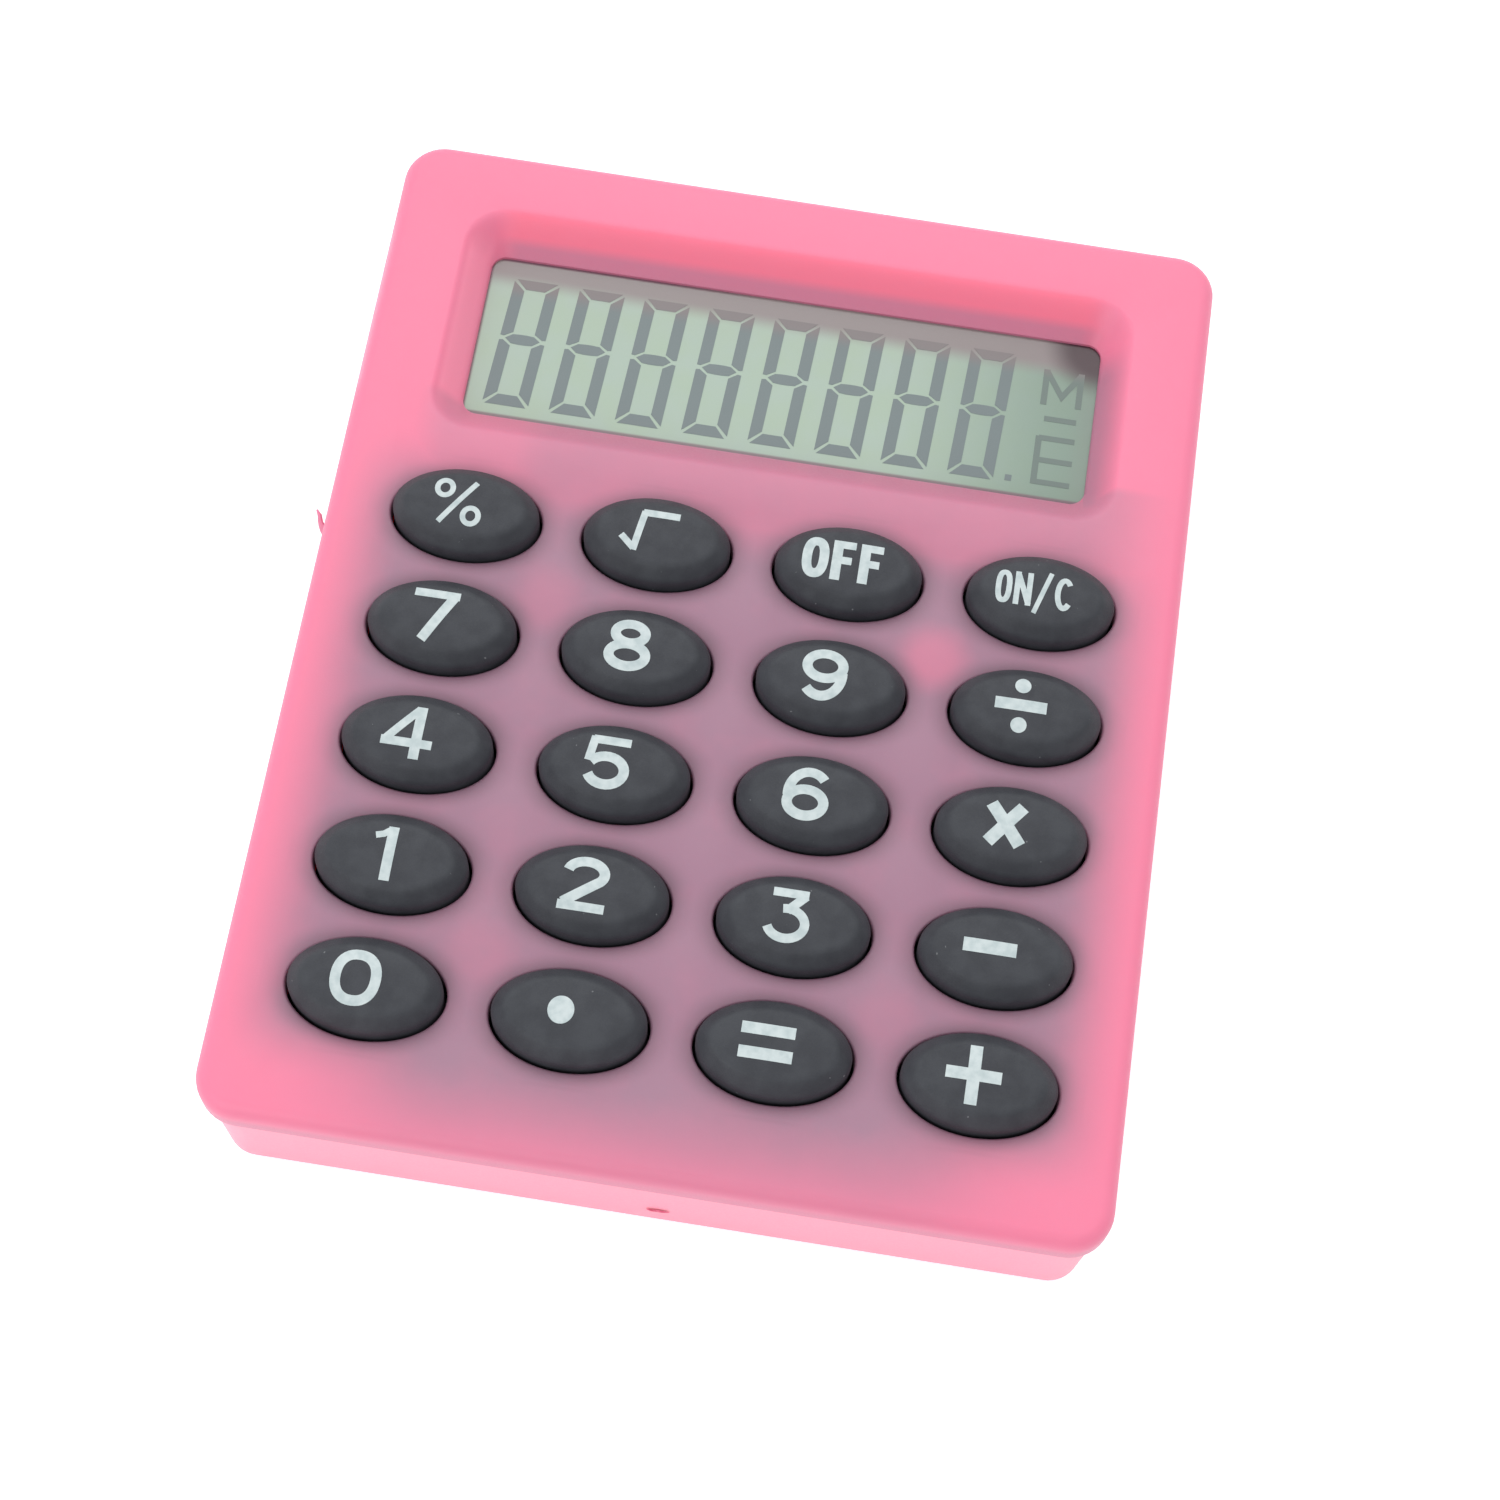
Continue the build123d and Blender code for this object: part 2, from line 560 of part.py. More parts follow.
board_screws = screws(
    POSTS,
    BOARD_Z - BOARD_HEAD_D,
    BOARD_HEAD_R,
    BOARD_HEAD_D,
    BOARD_SHANK_R,
    BOARD_SCREW_TIP,
    BOARD_SLOT,
)
board_screws.label = "board_screws"
export_step(board_screws, "parts/board_screws.step")

battery_door_screw = screws(
    [(DOOR_SCREW_X, CELL_Y)],
    CASE_HEAD_SINK,
    DOOR_HEAD_R,
    DOOR_HEAD_D,
    DOOR_SHANK_R,
    DOOR_SCREW_TIP,
    DOOR_SLOT,
)
battery_door_screw.label = "battery_door_screw"
export_step(battery_door_screw, "parts/battery_door_screw.step")
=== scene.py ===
import math

import bmesh
import bpy
from mathutils import Matrix, Vector
from mathutils.geometry import delaunay_2d_cdt


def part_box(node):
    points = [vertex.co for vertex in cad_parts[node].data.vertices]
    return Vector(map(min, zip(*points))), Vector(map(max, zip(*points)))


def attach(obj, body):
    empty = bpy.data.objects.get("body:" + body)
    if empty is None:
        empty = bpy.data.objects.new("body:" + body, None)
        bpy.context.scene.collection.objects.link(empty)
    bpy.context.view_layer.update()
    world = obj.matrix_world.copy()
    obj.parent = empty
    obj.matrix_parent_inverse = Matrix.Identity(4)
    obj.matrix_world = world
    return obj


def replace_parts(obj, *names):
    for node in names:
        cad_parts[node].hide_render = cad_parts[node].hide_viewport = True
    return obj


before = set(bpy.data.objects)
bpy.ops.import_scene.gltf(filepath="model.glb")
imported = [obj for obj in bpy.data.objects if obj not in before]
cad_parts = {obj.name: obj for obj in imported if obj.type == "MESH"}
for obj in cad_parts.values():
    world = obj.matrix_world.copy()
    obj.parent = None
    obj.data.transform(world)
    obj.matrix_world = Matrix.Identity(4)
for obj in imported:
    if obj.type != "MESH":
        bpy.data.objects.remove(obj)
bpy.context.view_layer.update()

# Pocket calculator. Geometry below is worked out in millimetres and written to the meshes in metres;
# the case's main sizes, the mat, the board and the keys' places come from the boxes of the CAD nodes,
# and the rest are given numbers.
MM = 0.001
PER_MM = 1000.0


def node_box(name):
    """The low and high corners of a CAD node, in millimetres."""
    low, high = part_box(name)
    return low * PER_MM, high * PER_MM


# ---- sizes taken from the frame -------------------------------------------------------------
front_low, front_high = node_box("front_shell")
rear_low, rear_high = node_box("rear_shell")
board_low, board_high = node_box("circuit_board")
mat_low, mat_high = node_box("keypad_mat")

CASE_W = front_high.x - front_low.x
CASE_L = front_high.y - front_low.y
FACE_Z = front_high.z
PARTING_Z = rear_high.z
CORNER_R = 2.2
FACE_EDGE_R = 0.8
PARTING_EDGE_R = 0.12       # the small rounding of the front shell's lower edge
SKIRT_T = 1.2
PLATE_T = 1.2
PLATE_Z = FACE_Z - PLATE_T
TONGUE_DEPTH = 0.8          # the tongue reaches this far into the rear shell
TONGUE_Z = PARTING_Z - TONGUE_DEPTH
TONGUE_INSET = 1.62
TONGUE_T = 0.6

KEYS = [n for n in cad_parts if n.startswith("key_")]
KEY_BOXES = {n: node_box(n) for n in KEYS}
KEY_CENTRES = {n: (low + high) / 2 for n, (low, high) in KEY_BOXES.items()}
key_low, key_high = KEY_BOXES["key_5"]
KEY_Z, KEY_TOP = key_low.z, key_high.z
KEY_HALF_W = (key_high.x - key_low.x) / 2
KEY_HALF_L = (key_high.y - key_low.y) / 2
KEY_GAP = 0.15              # between a key and its hole
HOLE_EDGE_R = 0.14
KEY_PITCH_X = KEY_CENTRES["key_6"].x - KEY_CENTRES["key_5"].x
KEY_PITCH_Y = KEY_CENTRES["key_8"].y - KEY_CENTRES["key_5"].y
KEYPAD_CENTRE = (KEY_CENTRES["key_5"] + KEY_CENTRES["key_6"]) / 2

WINDOW_Y = 17.45
WINDOW_W, WINDOW_L, WINDOW_R = 33.8, 9.9, 0.8       # the opening at the display
RECESS_W, RECESS_L, RECESS_R = 36.8, 13.6, 2.2      # the outline of its sloped frame in the face
WINDOW_TOP = WINDOW_Y + WINDOW_L / 2
WINDOW_FOOT = WINDOW_Y - WINDOW_L / 2
WINDOW_RIGHT = WINDOW_W / 2
COLLAR_T = 1.0              # wall of the window frame, behind the face plate
DISPLAY_Z = node_box("lcd_front_polariser")[1].z

POSTS = [
    (sx * KEY_PITCH_X, KEYPAD_CENTRE.y + sy * 1.5 * KEY_PITCH_Y) for sx in (-1, 1) for sy in (-1, 1)
]
POST_R, POST_PILOT_R, POST_BLIND_Z = 1.3, 0.5, 5.4      # the posts carry the board
CASE_SCREW_X, CASE_SCREW_Y = 18.9, 24.5
CASE_SCREWS = [(sx * CASE_SCREW_X, sy * CASE_SCREW_Y) for sx in (-1, 1) for sy in (-1, 1)]
BOSS_R = 0.99               # narrow enough to stay inside the tongue
BOSS_PILOT_R, BOSS_TIP_Z, BOSS_BLIND_Z = 0.8, 3.0, 5.6
COLUMN_POINTS = 32


# ---- camera, light and floor ----------------------------------------------------------------
CAMERA_TARGET = (1.5, -5.1, FACE_Z)
CAMERA_DISTANCE, CAMERA_LENS = 148.2, 70.0
AZIMUTH, ELEVATION, ROLL = 3.8, 67.6, -5.3      # degrees


def make_camera():
    """Overhead view from the user's side, a little to the right, with the case turned clockwise."""
    target = Vector(CAMERA_TARGET) * MM
    azimuth, elevation, roll = (math.radians(angle) for angle in (AZIMUTH, ELEVATION, ROLL))
    distance = CAMERA_DISTANCE * MM
    back = Vector(
        (
            math.sin(azimuth) * math.cos(elevation),
            -math.cos(azimuth) * math.cos(elevation),
            math.sin(elevation),
        )
    )
    data = bpy.data.cameras.new("camera")
    data.lens = CAMERA_LENS
    data.sensor_width = 36.0
    data.clip_start, data.clip_end = 0.01, 10.0
    camera = bpy.data.objects.new("camera", data)
    camera.location = target + back * distance
    camera.rotation_mode = "QUATERNION"
    look = (-back).to_track_quat("-Z", "Y")
    camera.rotation_quaternion = look @ Matrix.Rotation(-roll, 3, "Z").to_quaternion()
    bpy.context.scene.collection.objects.link(camera)
    bpy.context.scene.camera = camera


def add_area_light(name, location, size, power):
    """A square soft box, aimed at the middle of the case. Location and size in millimetres."""
    data = bpy.data.lights.new(name, "AREA")
    data.size = size * MM
    data.energy = power
    light = bpy.data.objects.new(name, data)
    light.location = Vector(location) * MM
    light.rotation_mode = "QUATERNION"
    light.rotation_quaternion = (-Vector(location)).to_track_quat("-Z", "Y")
    bpy.context.scene.collection.objects.link(light)


BRIGHT_SIDE = (-0.25, 0.85, 0.75)   # the surround is brightest above the display end
BRIGHT_LEVEL, DIM_LEVEL = 1.22, 0.46
DIM_COSINE = -0.4                   # dimmest where the cosine to the bright side is below this
FLOOR_GLOW = 0.38                   # the floor is a light table, which keeps shadows faint
FLOOR_GAP = 0.02                    # room under the rear face, so that the two never coincide
FLOOR_HALF = 2000.0
SOFT_BOXES = (                      # (name, place, size in millimetres, power in watts)
    ("key_light", (-40.0, 340.0, 430.0), 240.0, 0.50),      # above the display end
    ("fill_light", (-150.0, -260.0, 260.0), 260.0, 0.44),   # on the user's side, to the left
)


def make_studio():
    """A pale floor lit a little from within, under a bright surround and two soft boxes."""
    scene = bpy.context.scene
    scene.view_settings.view_transform = "Standard"
    scene.view_settings.look = "None"
    world = bpy.data.worlds.new("studio")
    world.use_nodes = True
    tree = world.node_tree
    direction = tree.nodes.new("ShaderNodeTexCoord").outputs["Generated"]
    towards = tree.nodes.new("ShaderNodeVectorMath")
    towards.operation = "DOT_PRODUCT"
    towards.inputs[1].default_value = Vector(BRIGHT_SIDE).normalized()
    level = tree.nodes.new("ShaderNodeMapRange")
    for socket, number in zip(list(level.inputs)[1:5], (DIM_COSINE, 1.0, DIM_LEVEL, BRIGHT_LEVEL)):
        socket.default_value = number
    tree.links.new(direction, towards.inputs[0])
    tree.links.new(towards.outputs["Value"], level.inputs["Value"])
    tree.links.new(level.outputs[0], tree.nodes["Background"].inputs["Strength"])
    tree.nodes["Background"].inputs["Color"].default_value = (1.0, 1.0, 1.0, 1.0)
    scene.world = world
    for name, place, size, power in SOFT_BOXES:
        add_area_light(name, place, size, power)

    mesh = bpy.data.meshes.new("floor")
    half, z = FLOOR_HALF * MM, -FLOOR_GAP * MM
    mesh.from_pydata(
        [(-half, -half, z), (half, -half, z), (half, half, z), (-half, half, z)],
        [],
        [(0, 1, 2, 3)],
    )
    floor = bpy.data.objects.new("floor", mesh)
    scene.collection.objects.link(floor)
    nodes = NodeTree("floor_paper")
    tint = nodes.noise(40.0, detail=2.0)
    nodes.set("Base Color", nodes.mix_colour(tint, (0.93, 0.93, 0.93), (0.96, 0.96, 0.96)))
    nodes.set("Roughness", 0.9)
    nodes.shader.inputs["Emission Color"].default_value = (1.0, 1.0, 1.0, 1.0)
    nodes.shader.inputs["Emission Strength"].default_value = FLOOR_GLOW
    mesh.materials.append(nodes.material)


# ---- material building ------------------------------------------------------------------------
class NodeTree:
    """A Principled material and short ways to add the procedural nodes that feed it.

    Positions are object coordinates scaled to millimetres."""

    def __init__(self, name):
        self.material = bpy.data.materials.new(name)
        self.material.use_nodes = True
        self.tree = self.material.node_tree
        self.shader = self.tree.nodes["Principled BSDF"]
        coordinates = self.tree.nodes.new("ShaderNodeTexCoord")
        scale = self.tree.nodes.new("ShaderNodeVectorMath")
        scale.operation = "SCALE"
        scale.inputs["Scale"].default_value = PER_MM
        self.tree.links.new(coordinates.outputs["Object"], scale.inputs[0])
        self.place = scale.outputs["Vector"]
        split = self.tree.nodes.new("ShaderNodeSeparateXYZ")
        self.tree.links.new(self.place, split.inputs[0])
        self.x, self.y, self.z = split.outputs

    def feed(self, socket, value):
        """Links an output to the socket, or sets the socket's value."""
        if isinstance(value, bpy.types.NodeSocket):
            self.tree.links.new(value, socket)
        elif isinstance(value, tuple):
            socket.default_value = (*value, 1.0)
        else:
            socket.default_value = value

    def set(self, name, value):
        self.feed(self.shader.inputs[name], value)

    def math(self, operation, *values):
        node = self.tree.nodes.new("ShaderNodeMath")
        node.operation = operation
        for socket, value in zip(node.inputs, values):
            self.feed(socket, value)
        return node.outputs[0]

    def times(self, *factors):
        product = factors[0]
        for factor in factors[1:]:
            product = self.math("MULTIPLY", product, factor)
        return product

    def largest(self, *values):
        best = values[0]
        for value in values[1:]:
            best = self.math("MAXIMUM", best, value)
        return best

    def length(self, x, y):
        return self.math("SQRT", self.math("ADD", self.times(x, x), self.times(y, y)))

    def ramp(self, value, low, high, start=0.0, end=1.0):
        """A smooth step from start to end while value goes from low to high."""
        node = self.tree.nodes.new("ShaderNodeMapRange")
        node.interpolation_type = "SMOOTHSTEP"
        for socket, number in zip(list(node.inputs)[:5], (value, low, high, start, end)):
            self.feed(socket, number)
        return node.outputs[0]

    def noise(self, scale, detail=3.0, roughness=0.5, stretch=None):
        """Noise whose grain is about 1 / scale millimetres."""
        node = self.tree.nodes.new("ShaderNodeTexNoise")
        node.inputs["Scale"].default_value = scale
        node.inputs["Detail"].default_value = detail
        node.inputs["Roughness"].default_value = roughness
        place = self.place
        if stretch:
            mapping = self.tree.nodes.new("ShaderNodeVectorMath")
            mapping.operation = "MULTIPLY"
            mapping.inputs[1].default_value = stretch
            self.tree.links.new(place, mapping.inputs[0])
            place = mapping.outputs["Vector"]
        self.tree.links.new(place, node.inputs["Vector"])
        return node.outputs["Fac"]

    def mix_colour(self, factor, first, second):
        node = self.tree.nodes.new("ShaderNodeMix")
        node.data_type = "RGBA"
        self.feed(node.inputs[0], factor)
        self.feed(node.inputs[6], first)
        self.feed(node.inputs[7], second)
        return node.outputs[2]

    def layers(self, colour, *layers):
        """Lays (share, tint) pairs over a colour, in order."""
        for share, tint in layers:
            colour = self.mix_colour(share, colour, tint)
        return colour

    def bump(self, height, distance):
        """Feeds the shader's normal; distance in millimetres."""
        node = self.tree.nodes.new("ShaderNodeBump")
        node.inputs["Strength"].default_value = 1.0
        node.inputs["Distance"].default_value = distance * MM
        self.tree.links.new(height, node.inputs["Height"])
        self.tree.links.new(node.outputs["Normal"], self.shader.inputs["Normal"])

    def spot(self, centre_x, centre_y, inner, outer):
        """1 within the inner radius of a point in plan, fading to 0 at the outer radius."""
        dx = self.math("SUBTRACT", self.x, centre_x)
        dy = self.math("SUBTRACT", self.y, centre_y)
        return self.ramp(self.length(dx, dy), inner, outer, 1.0, 0.0)

    def slab(self, value, low, high, soft):
        """1 between low and high, fading over soft outside them."""
        rising = self.ramp(value, low - soft, low)
        falling = self.ramp(value, high, high + soft, 1.0, 0.0)
        return self.times(rising, falling)


def srgb(red, green, blue):
    """Linear colour of an 8-bit screen colour."""
    return tuple((c / 255.0) ** 2.2 for c in (red, green, blue))


# ---- mesh building ----------------------------------------------------------------------------
def rounded_rectangle(width, length, radius, centre_y=0.0, steps=10):
    """Counter-clockwise outline with the same number of points whatever its size."""
    points = []
    for quarter, (sx, sy) in enumerate(((1, 1), (-1, 1), (-1, -1), (1, -1))):
        cx, cy = sx * (width / 2 - radius), centre_y + sy * (length / 2 - radius)
        for step in range(steps + 1):
            angle = math.radians(90.0 * (quarter + step / steps))
            points.append((cx + radius * math.cos(angle), cy + radius * math.sin(angle)))
    return points


def ellipse(half_w, half_l, centre_x=0.0, centre_y=0.0, count=64):
    turns = (2 * math.pi * i / count for i in range(count))
    return [(centre_x + half_w * math.cos(a), centre_y + half_l * math.sin(a)) for a in turns]


def quarter_round(radius, steps=6):
    """(sideways, down) pairs round a convex edge, from the flat on top to the upright side."""
    angles = [math.radians(90.0 * i / steps) for i in range(steps + 1)]
    return [(radius * (1 - math.sin(a)), radius * (1 - math.cos(a))) for a in angles]


SHARP_ANGLE, CAD_SHARP_ANGLE = 38.0, 30.0   # degrees; flatter edges are shaded smooth


class Build:
    """Collects rings of points and the faces between them, in millimetres."""

    def __init__(self):
        self.points = []
        self.faces = []

    def ring(self, outline, z):
        first = len(self.points)
        self.points += [(x, y, z) for x, y in outline]
        return list(range(first, len(self.points)))

    def wall(self, lower, upper):
        count = len(lower)
        for i in range(count):
            j = (i + 1) % count
            self.faces.append((lower[i], lower[j], upper[j], upper[i]))

    def stack(self, rings):
        """Joins (outline, z) rings in order, and returns the first and last."""
        made = [self.ring(outline, z) for outline, z in rings]
        for lower, upper in zip(made, made[1:]):
            self.wall(lower, upper)
        return made[0], made[-1]

    def tube(self, loops):
        """Joins closed loops of (x, y, z) points in order, and caps both ends."""
        rings = []
        for loop in loops:
            first = len(self.points)
            self.points += loop
            rings.append(list(range(first, len(self.points))))
        for lower, upper in zip(rings, rings[1:]):
            self.wall(lower, upper)
        self.faces += [tuple(rings[0]), tuple(rings[-1])]

    def fill(self, outer, holes=()):
        """Flat faces inside the outer ring and outside the holes. Every ring is convex."""
        corners, edges, owner, loop_of = [], [], [], []
        for number, loop in enumerate((outer, *holes)):
            first = len(corners)
            corners += [Vector(self.points[i][:2]) for i in loop]
            owner += loop
            loop_of += [number] * len(loop)
            edges += [(first + i, first + (i + 1) % len(loop)) for i in range(len(loop))]
        _, _, triangles, origin, _, _ = delaunay_2d_cdt(corners, edges, [], 0, 1e-7)
        for triangle in triangles:
            sources = [origin[i][0] for i in triangle]
            loops = {loop_of[s] for s in sources}
            if len(loops) == 1 and loops != {0}:
                continue
            self.faces.append(tuple(owner[s] for s in sources))

    def finish(self, name, material, body):
        """Writes the mesh in metres, with its normals outward, and puts it on a body."""
        mesh = bpy.data.meshes.new(name)
        mesh.from_pydata([tuple(c * MM for c in p) for p in self.points], [], self.faces)
        form = bmesh.new()
        form.from_mesh(mesh)
        bmesh.ops.remove_doubles(form, verts=form.verts, dist=1e-8)
        bmesh.ops.recalc_face_normals(form, faces=form.faces)
        form.to_mesh(mesh)
        form.free()
        mesh.shade_smooth()
        mesh.set_sharp_from_angle(angle=math.radians(SHARP_ANGLE))
        mesh.materials.append(material)
        piece = bpy.data.objects.new(name, mesh)
        bpy.context.scene.collection.objects.link(piece)
        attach(piece, body)
        return piece


# ---- materials --------------------------------------------------------------------------------
PINK = srgb(236, 125, 156)
# Painted reflected light: a deeper, redder pink for the light bounced about inside the window's recess.
RECESS_BOUNCE_PINK = srgb(255, 112, 138)
# Painted shade: a darker pink for the skirt and for the foot of the recess's upper slope.
SHADED_PINK = srgb(206, 120, 148)
# Painted light: a paler pink for the left slope of the recess.
LIT_SLOPE_PINK = srgb(255, 148, 176)
MAUVE = srgb(160, 119, 140)
# Painted shade round the keys.
KEY_SHADE = srgb(131, 100, 116)
REAR_PINK, REAR_SHADE = srgb(255, 150, 174), srgb(205, 122, 148)
SCAR_DARK, SCAR_PINK = srgb(205, 70, 105), srgb(228, 112, 142)
INK_WORN, INK_FRESH = srgb(173, 187, 189), srgb(195, 206, 207)
# The third film colour is painted shade towards the display's right end.
FILM_LEFT, FILM_MIDDLE, FILM_RIGHT_SHADE = srgb(153, 173, 154), srgb(154, 173, 160), srgb(108, 131, 118)
# Painted shade and shadow on the display: the dim band, the upper right corner and thin lines along the
# window's edges.
FILM_SHADE, FILM_CORNER_SHADOW, FILM_RIM_SHADOW = srgb(130, 119, 120), srgb(58, 36, 44), srgb(105, 62, 84)
# The first ink colour is painted shade, where the ink runs into the dim band.
SHADED_INK, SEGMENT_INK, SIGN_INK = srgb(118, 110, 110), srgb(104, 117, 118), srgb(100, 116, 110)
# Linear (low, high) pairs of the surfaces with two tones.
RUBBER, DUST = ((0.034, 0.037, 0.045), (0.045, 0.049, 0.058)), (0.25, 0.26, 0.27)
GLASS = ((0.75, 0.86, 0.8), (0.82, 0.9, 0.86))
LAMINATE = ((0.32, 0.27, 0.10), (0.42, 0.35, 0.15))

POST_LIFTS = (0.15, 0.2, 0.15, 0.45)    # how much paler the face is over each post
# The board shows between the mat and the display: (left, right, fade, strength).
BOARD_STRIPS = ((-11.0, 16.5, 6.0, 0.64), (-17.0, 17.0, 2.4, 0.42))


def frosted_plastic(name):
    """A material with the fine grain and faint inner scatter that both shells share."""
    nodes = NodeTree(name)
    grain = nodes.noise(9.0, detail=2.0)
    nodes.set("Subsurface Weight", 0.15)
    nodes.shader.inputs["Subsurface Radius"].default_value = (1.0, 0.35, 0.45)
    nodes.set("Subsurface Scale", 0.0012)
    nodes.bump(grain, 0.004)
    return nodes, grain


def keypad_field(nodes):
    """How much of the dark mat and board behind the face shows through, from 0 to 1."""
    side_margin, side_fade = 2.0, 4.6
    foot_margin, foot_fade = 1.1, 7.4
    head_margin, head_fade = 3.8, 5.8
    mat_foot, mat_head = mat_low.y + foot_margin, mat_high.y - head_margin
    across = nodes.slab(nodes.x, mat_low.x + side_margin, mat_high.x - side_margin, side_fade)
    rising = nodes.ramp(nodes.y, mat_foot - foot_fade, mat_foot)
    falling = nodes.ramp(nodes.y, mat_head, mat_head + head_fade, 1.0, 0.0)
    lower_corners = nodes.times(
        nodes.ramp(nodes.math("ABSOLUTE", nodes.x), 10.0, 19.0),
        nodes.ramp(nodes.y, 2.0 - CASE_L / 2, 6.5 - CASE_L / 2, 0.9, 0.0),
    )
    field = nodes.times(across, rising, falling, nodes.math("SUBTRACT", 1.0, lower_corners))

    strips = [
        nodes.times(nodes.slab(nodes.x, left, right, soft), strength)
        for left, right, soft, strength in BOARD_STRIPS
    ]
    board_edge = nodes.times(nodes.largest(*strips), nodes.slab(nodes.y, mat_head, WINDOW_FOOT, 0.8))
    display_end = nodes.times(
        nodes.ramp(nodes.x, WINDOW_RIGHT + 0.1, WINDOW_RIGHT + 1.8, 0.78, 0.0),
        nodes.ramp(nodes.x, WINDOW_RIGHT - 0.2, WINDOW_RIGHT),
        nodes.slab(nodes.y, WINDOW_FOOT, WINDOW_TOP - 2.5, 2.5),
    )
    field = nodes.largest(field, board_edge, display_end)
    for (x, y), lift in zip(POSTS, POST_LIFTS):
        pale = nodes.times(nodes.spot(x, y - 0.7, 0.6, 2.6), lift)
        field = nodes.times(field, nodes.math("SUBTRACT", 1.0, pale))
    clouds = nodes.noise(0.35, detail=3.0)
    return nodes.times(field, nodes.ramp(clouds, 0.2, 0.8, 0.92, 1.06))


def key_shade_ring(nodes):
    """Painted shade round each key: a darker ring, from 0 to 1. It is weaker at the two ends of a key.
    """
    dx = nodes.math("WRAP", nodes.x, KEY_PITCH_X, 0.0)
    dx = nodes.math("DIVIDE", nodes.math("SUBTRACT", dx, KEY_PITCH_X / 2), KEY_HALF_W)
    dy = nodes.math("SUBTRACT", nodes.y, KEYPAD_CENTRE.y - KEY_PITCH_Y / 2)
    dy = nodes.math("WRAP", dy, KEY_PITCH_Y, 0.0)
    dy = nodes.math("DIVIDE", nodes.math("SUBTRACT", dy, KEY_PITCH_Y / 2), KEY_HALF_L)
    shade_ring = nodes.ramp(nodes.length(dx, dy), 1.02, 1.45, 0.8, 0.0)
    beside = nodes.ramp(nodes.math("ABSOLUTE", dx), 0.9, 1.25, 1.0, 0.6)
    field_x, field_y = 2 * KEY_PITCH_X, 2.5 * KEY_PITCH_Y
    return nodes.times(
        shade_ring,
        beside,
        nodes.slab(nodes.x, -field_x, field_x, 0.3),
        nodes.slab(nodes.y, KEYPAD_CENTRE.y - field_y, KEYPAD_CENTRE.y + field_y, 0.3),
    )


def frosted_front():
    """Frosted pink face. The dark keypad behind it shows through as a soft mauve field."""
    nodes, grain = frosted_plastic("frosted_pink_front")
    field = keypad_field(nodes)
    in_recess = nodes.times(
        nodes.slab(nodes.x, -RECESS_W / 2, RECESS_W / 2, 0.4),
        nodes.slab(nodes.y, WINDOW_Y - RECESS_L / 2, WINDOW_Y + RECESS_L / 2, 0.4),
    )
    # Painted reflected light on the upper slope of the recess, growing towards the window's top edge.
    upper_slope = nodes.times(
        nodes.ramp(nodes.y, WINDOW_TOP - 3.0, WINDOW_TOP, 0.0, 0.60),
        nodes.slab(nodes.x, 1.5 - WINDOW_RIGHT, WINDOW_RIGHT - 1.5, 2.0),
    )
    # Painted shade at the foot of the recess's upper slope, next to the display.
    display_edge_shade = nodes.ramp(nodes.z, DISPLAY_Z + 0.6, DISPLAY_Z + 1.15, 1.7, 0.0)
    # Painted light: the left slope of the recess is paler.
    lit_left_slope = nodes.times(
        nodes.ramp(nodes.x, -0.2 - WINDOW_RIGHT, 0.2 - WINDOW_RIGHT, 0.9, 0.0),
        nodes.ramp(nodes.z, DISPLAY_Z + 0.1, DISPLAY_Z + 0.7, 0.3, 1.0),
        nodes.ramp(nodes.z, FACE_Z - 0.4, FACE_Z - 0.02, 1.0, 0.0),
        nodes.slab(nodes.y, WINDOW_FOOT + 0.8, WINDOW_TOP - 1.0, 2.0),
    )
    # Painted shade: the skirt below the face, outside the recess, is darker.
    below_face = nodes.ramp(nodes.z, PARTING_Z + 0.5, FACE_Z - 0.1, 1.0, 0.0)
    skirt = nodes.math("SUBTRACT", below_face, in_recess)
    colour = nodes.layers(
        PINK,
        # painted reflected light on the upper slope
        (nodes.times(upper_slope, in_recess), RECESS_BOUNCE_PINK),
        # painted shade at the foot of the upper slope
        (nodes.times(display_edge_shade, upper_slope), SHADED_PINK),
        # painted light on the left slope
        (lit_left_slope, LIT_SLOPE_PINK),
        (field, MAUVE),
        # painted shade on the skirt
        (nodes.largest(skirt, 0.0), SHADED_PINK),
        # painted shade round the keys
        (nodes.times(key_shade_ring(nodes), field), KEY_SHADE),
    )
    nodes.set("Base Color", colour)
    nodes.set("Roughness", nodes.ramp(grain, 0.3, 0.7, 0.42, 0.52))
    return nodes.material


def frosted_rear():
    """Frosted pink of the rear shell: paler where light comes through its thin walls."""
    nodes, grain = frosted_plastic("frosted_pink_rear")
    clouds = nodes.noise(0.3, detail=3.0)
    margin, fade = 2.0, 3.5
    shade = nodes.times(
        nodes.slab(nodes.x, board_low.x + margin, board_high.x - margin, fade),
        nodes.slab(nodes.y, board_low.y + margin, board_high.y, fade),
        nodes.ramp(nodes.z, 0.3, 1.6, 1.0, 0.0),
        nodes.ramp(clouds, 0.2, 0.8, 0.35, 0.5),
    )
    nodes.set("Base Color", nodes.mix_colour(shade, REAR_PINK, REAR_SHADE))
    nodes.set("Roughness", nodes.ramp(grain, 0.3, 0.7, 0.40, 0.5))
    return nodes.material


def scar_plastic():
    """Denser pink of a cut face."""
    nodes = NodeTree("scar_pink")
    mottle = nodes.noise(3.0, detail=3.0)
    nodes.set("Base Color", nodes.mix_colour(nodes.ramp(mottle, 0.35, 0.65), SCAR_DARK, SCAR_PINK))
    nodes.set("Roughness", 0.6)
    nodes.bump(mottle, 0.02)
    return nodes.material


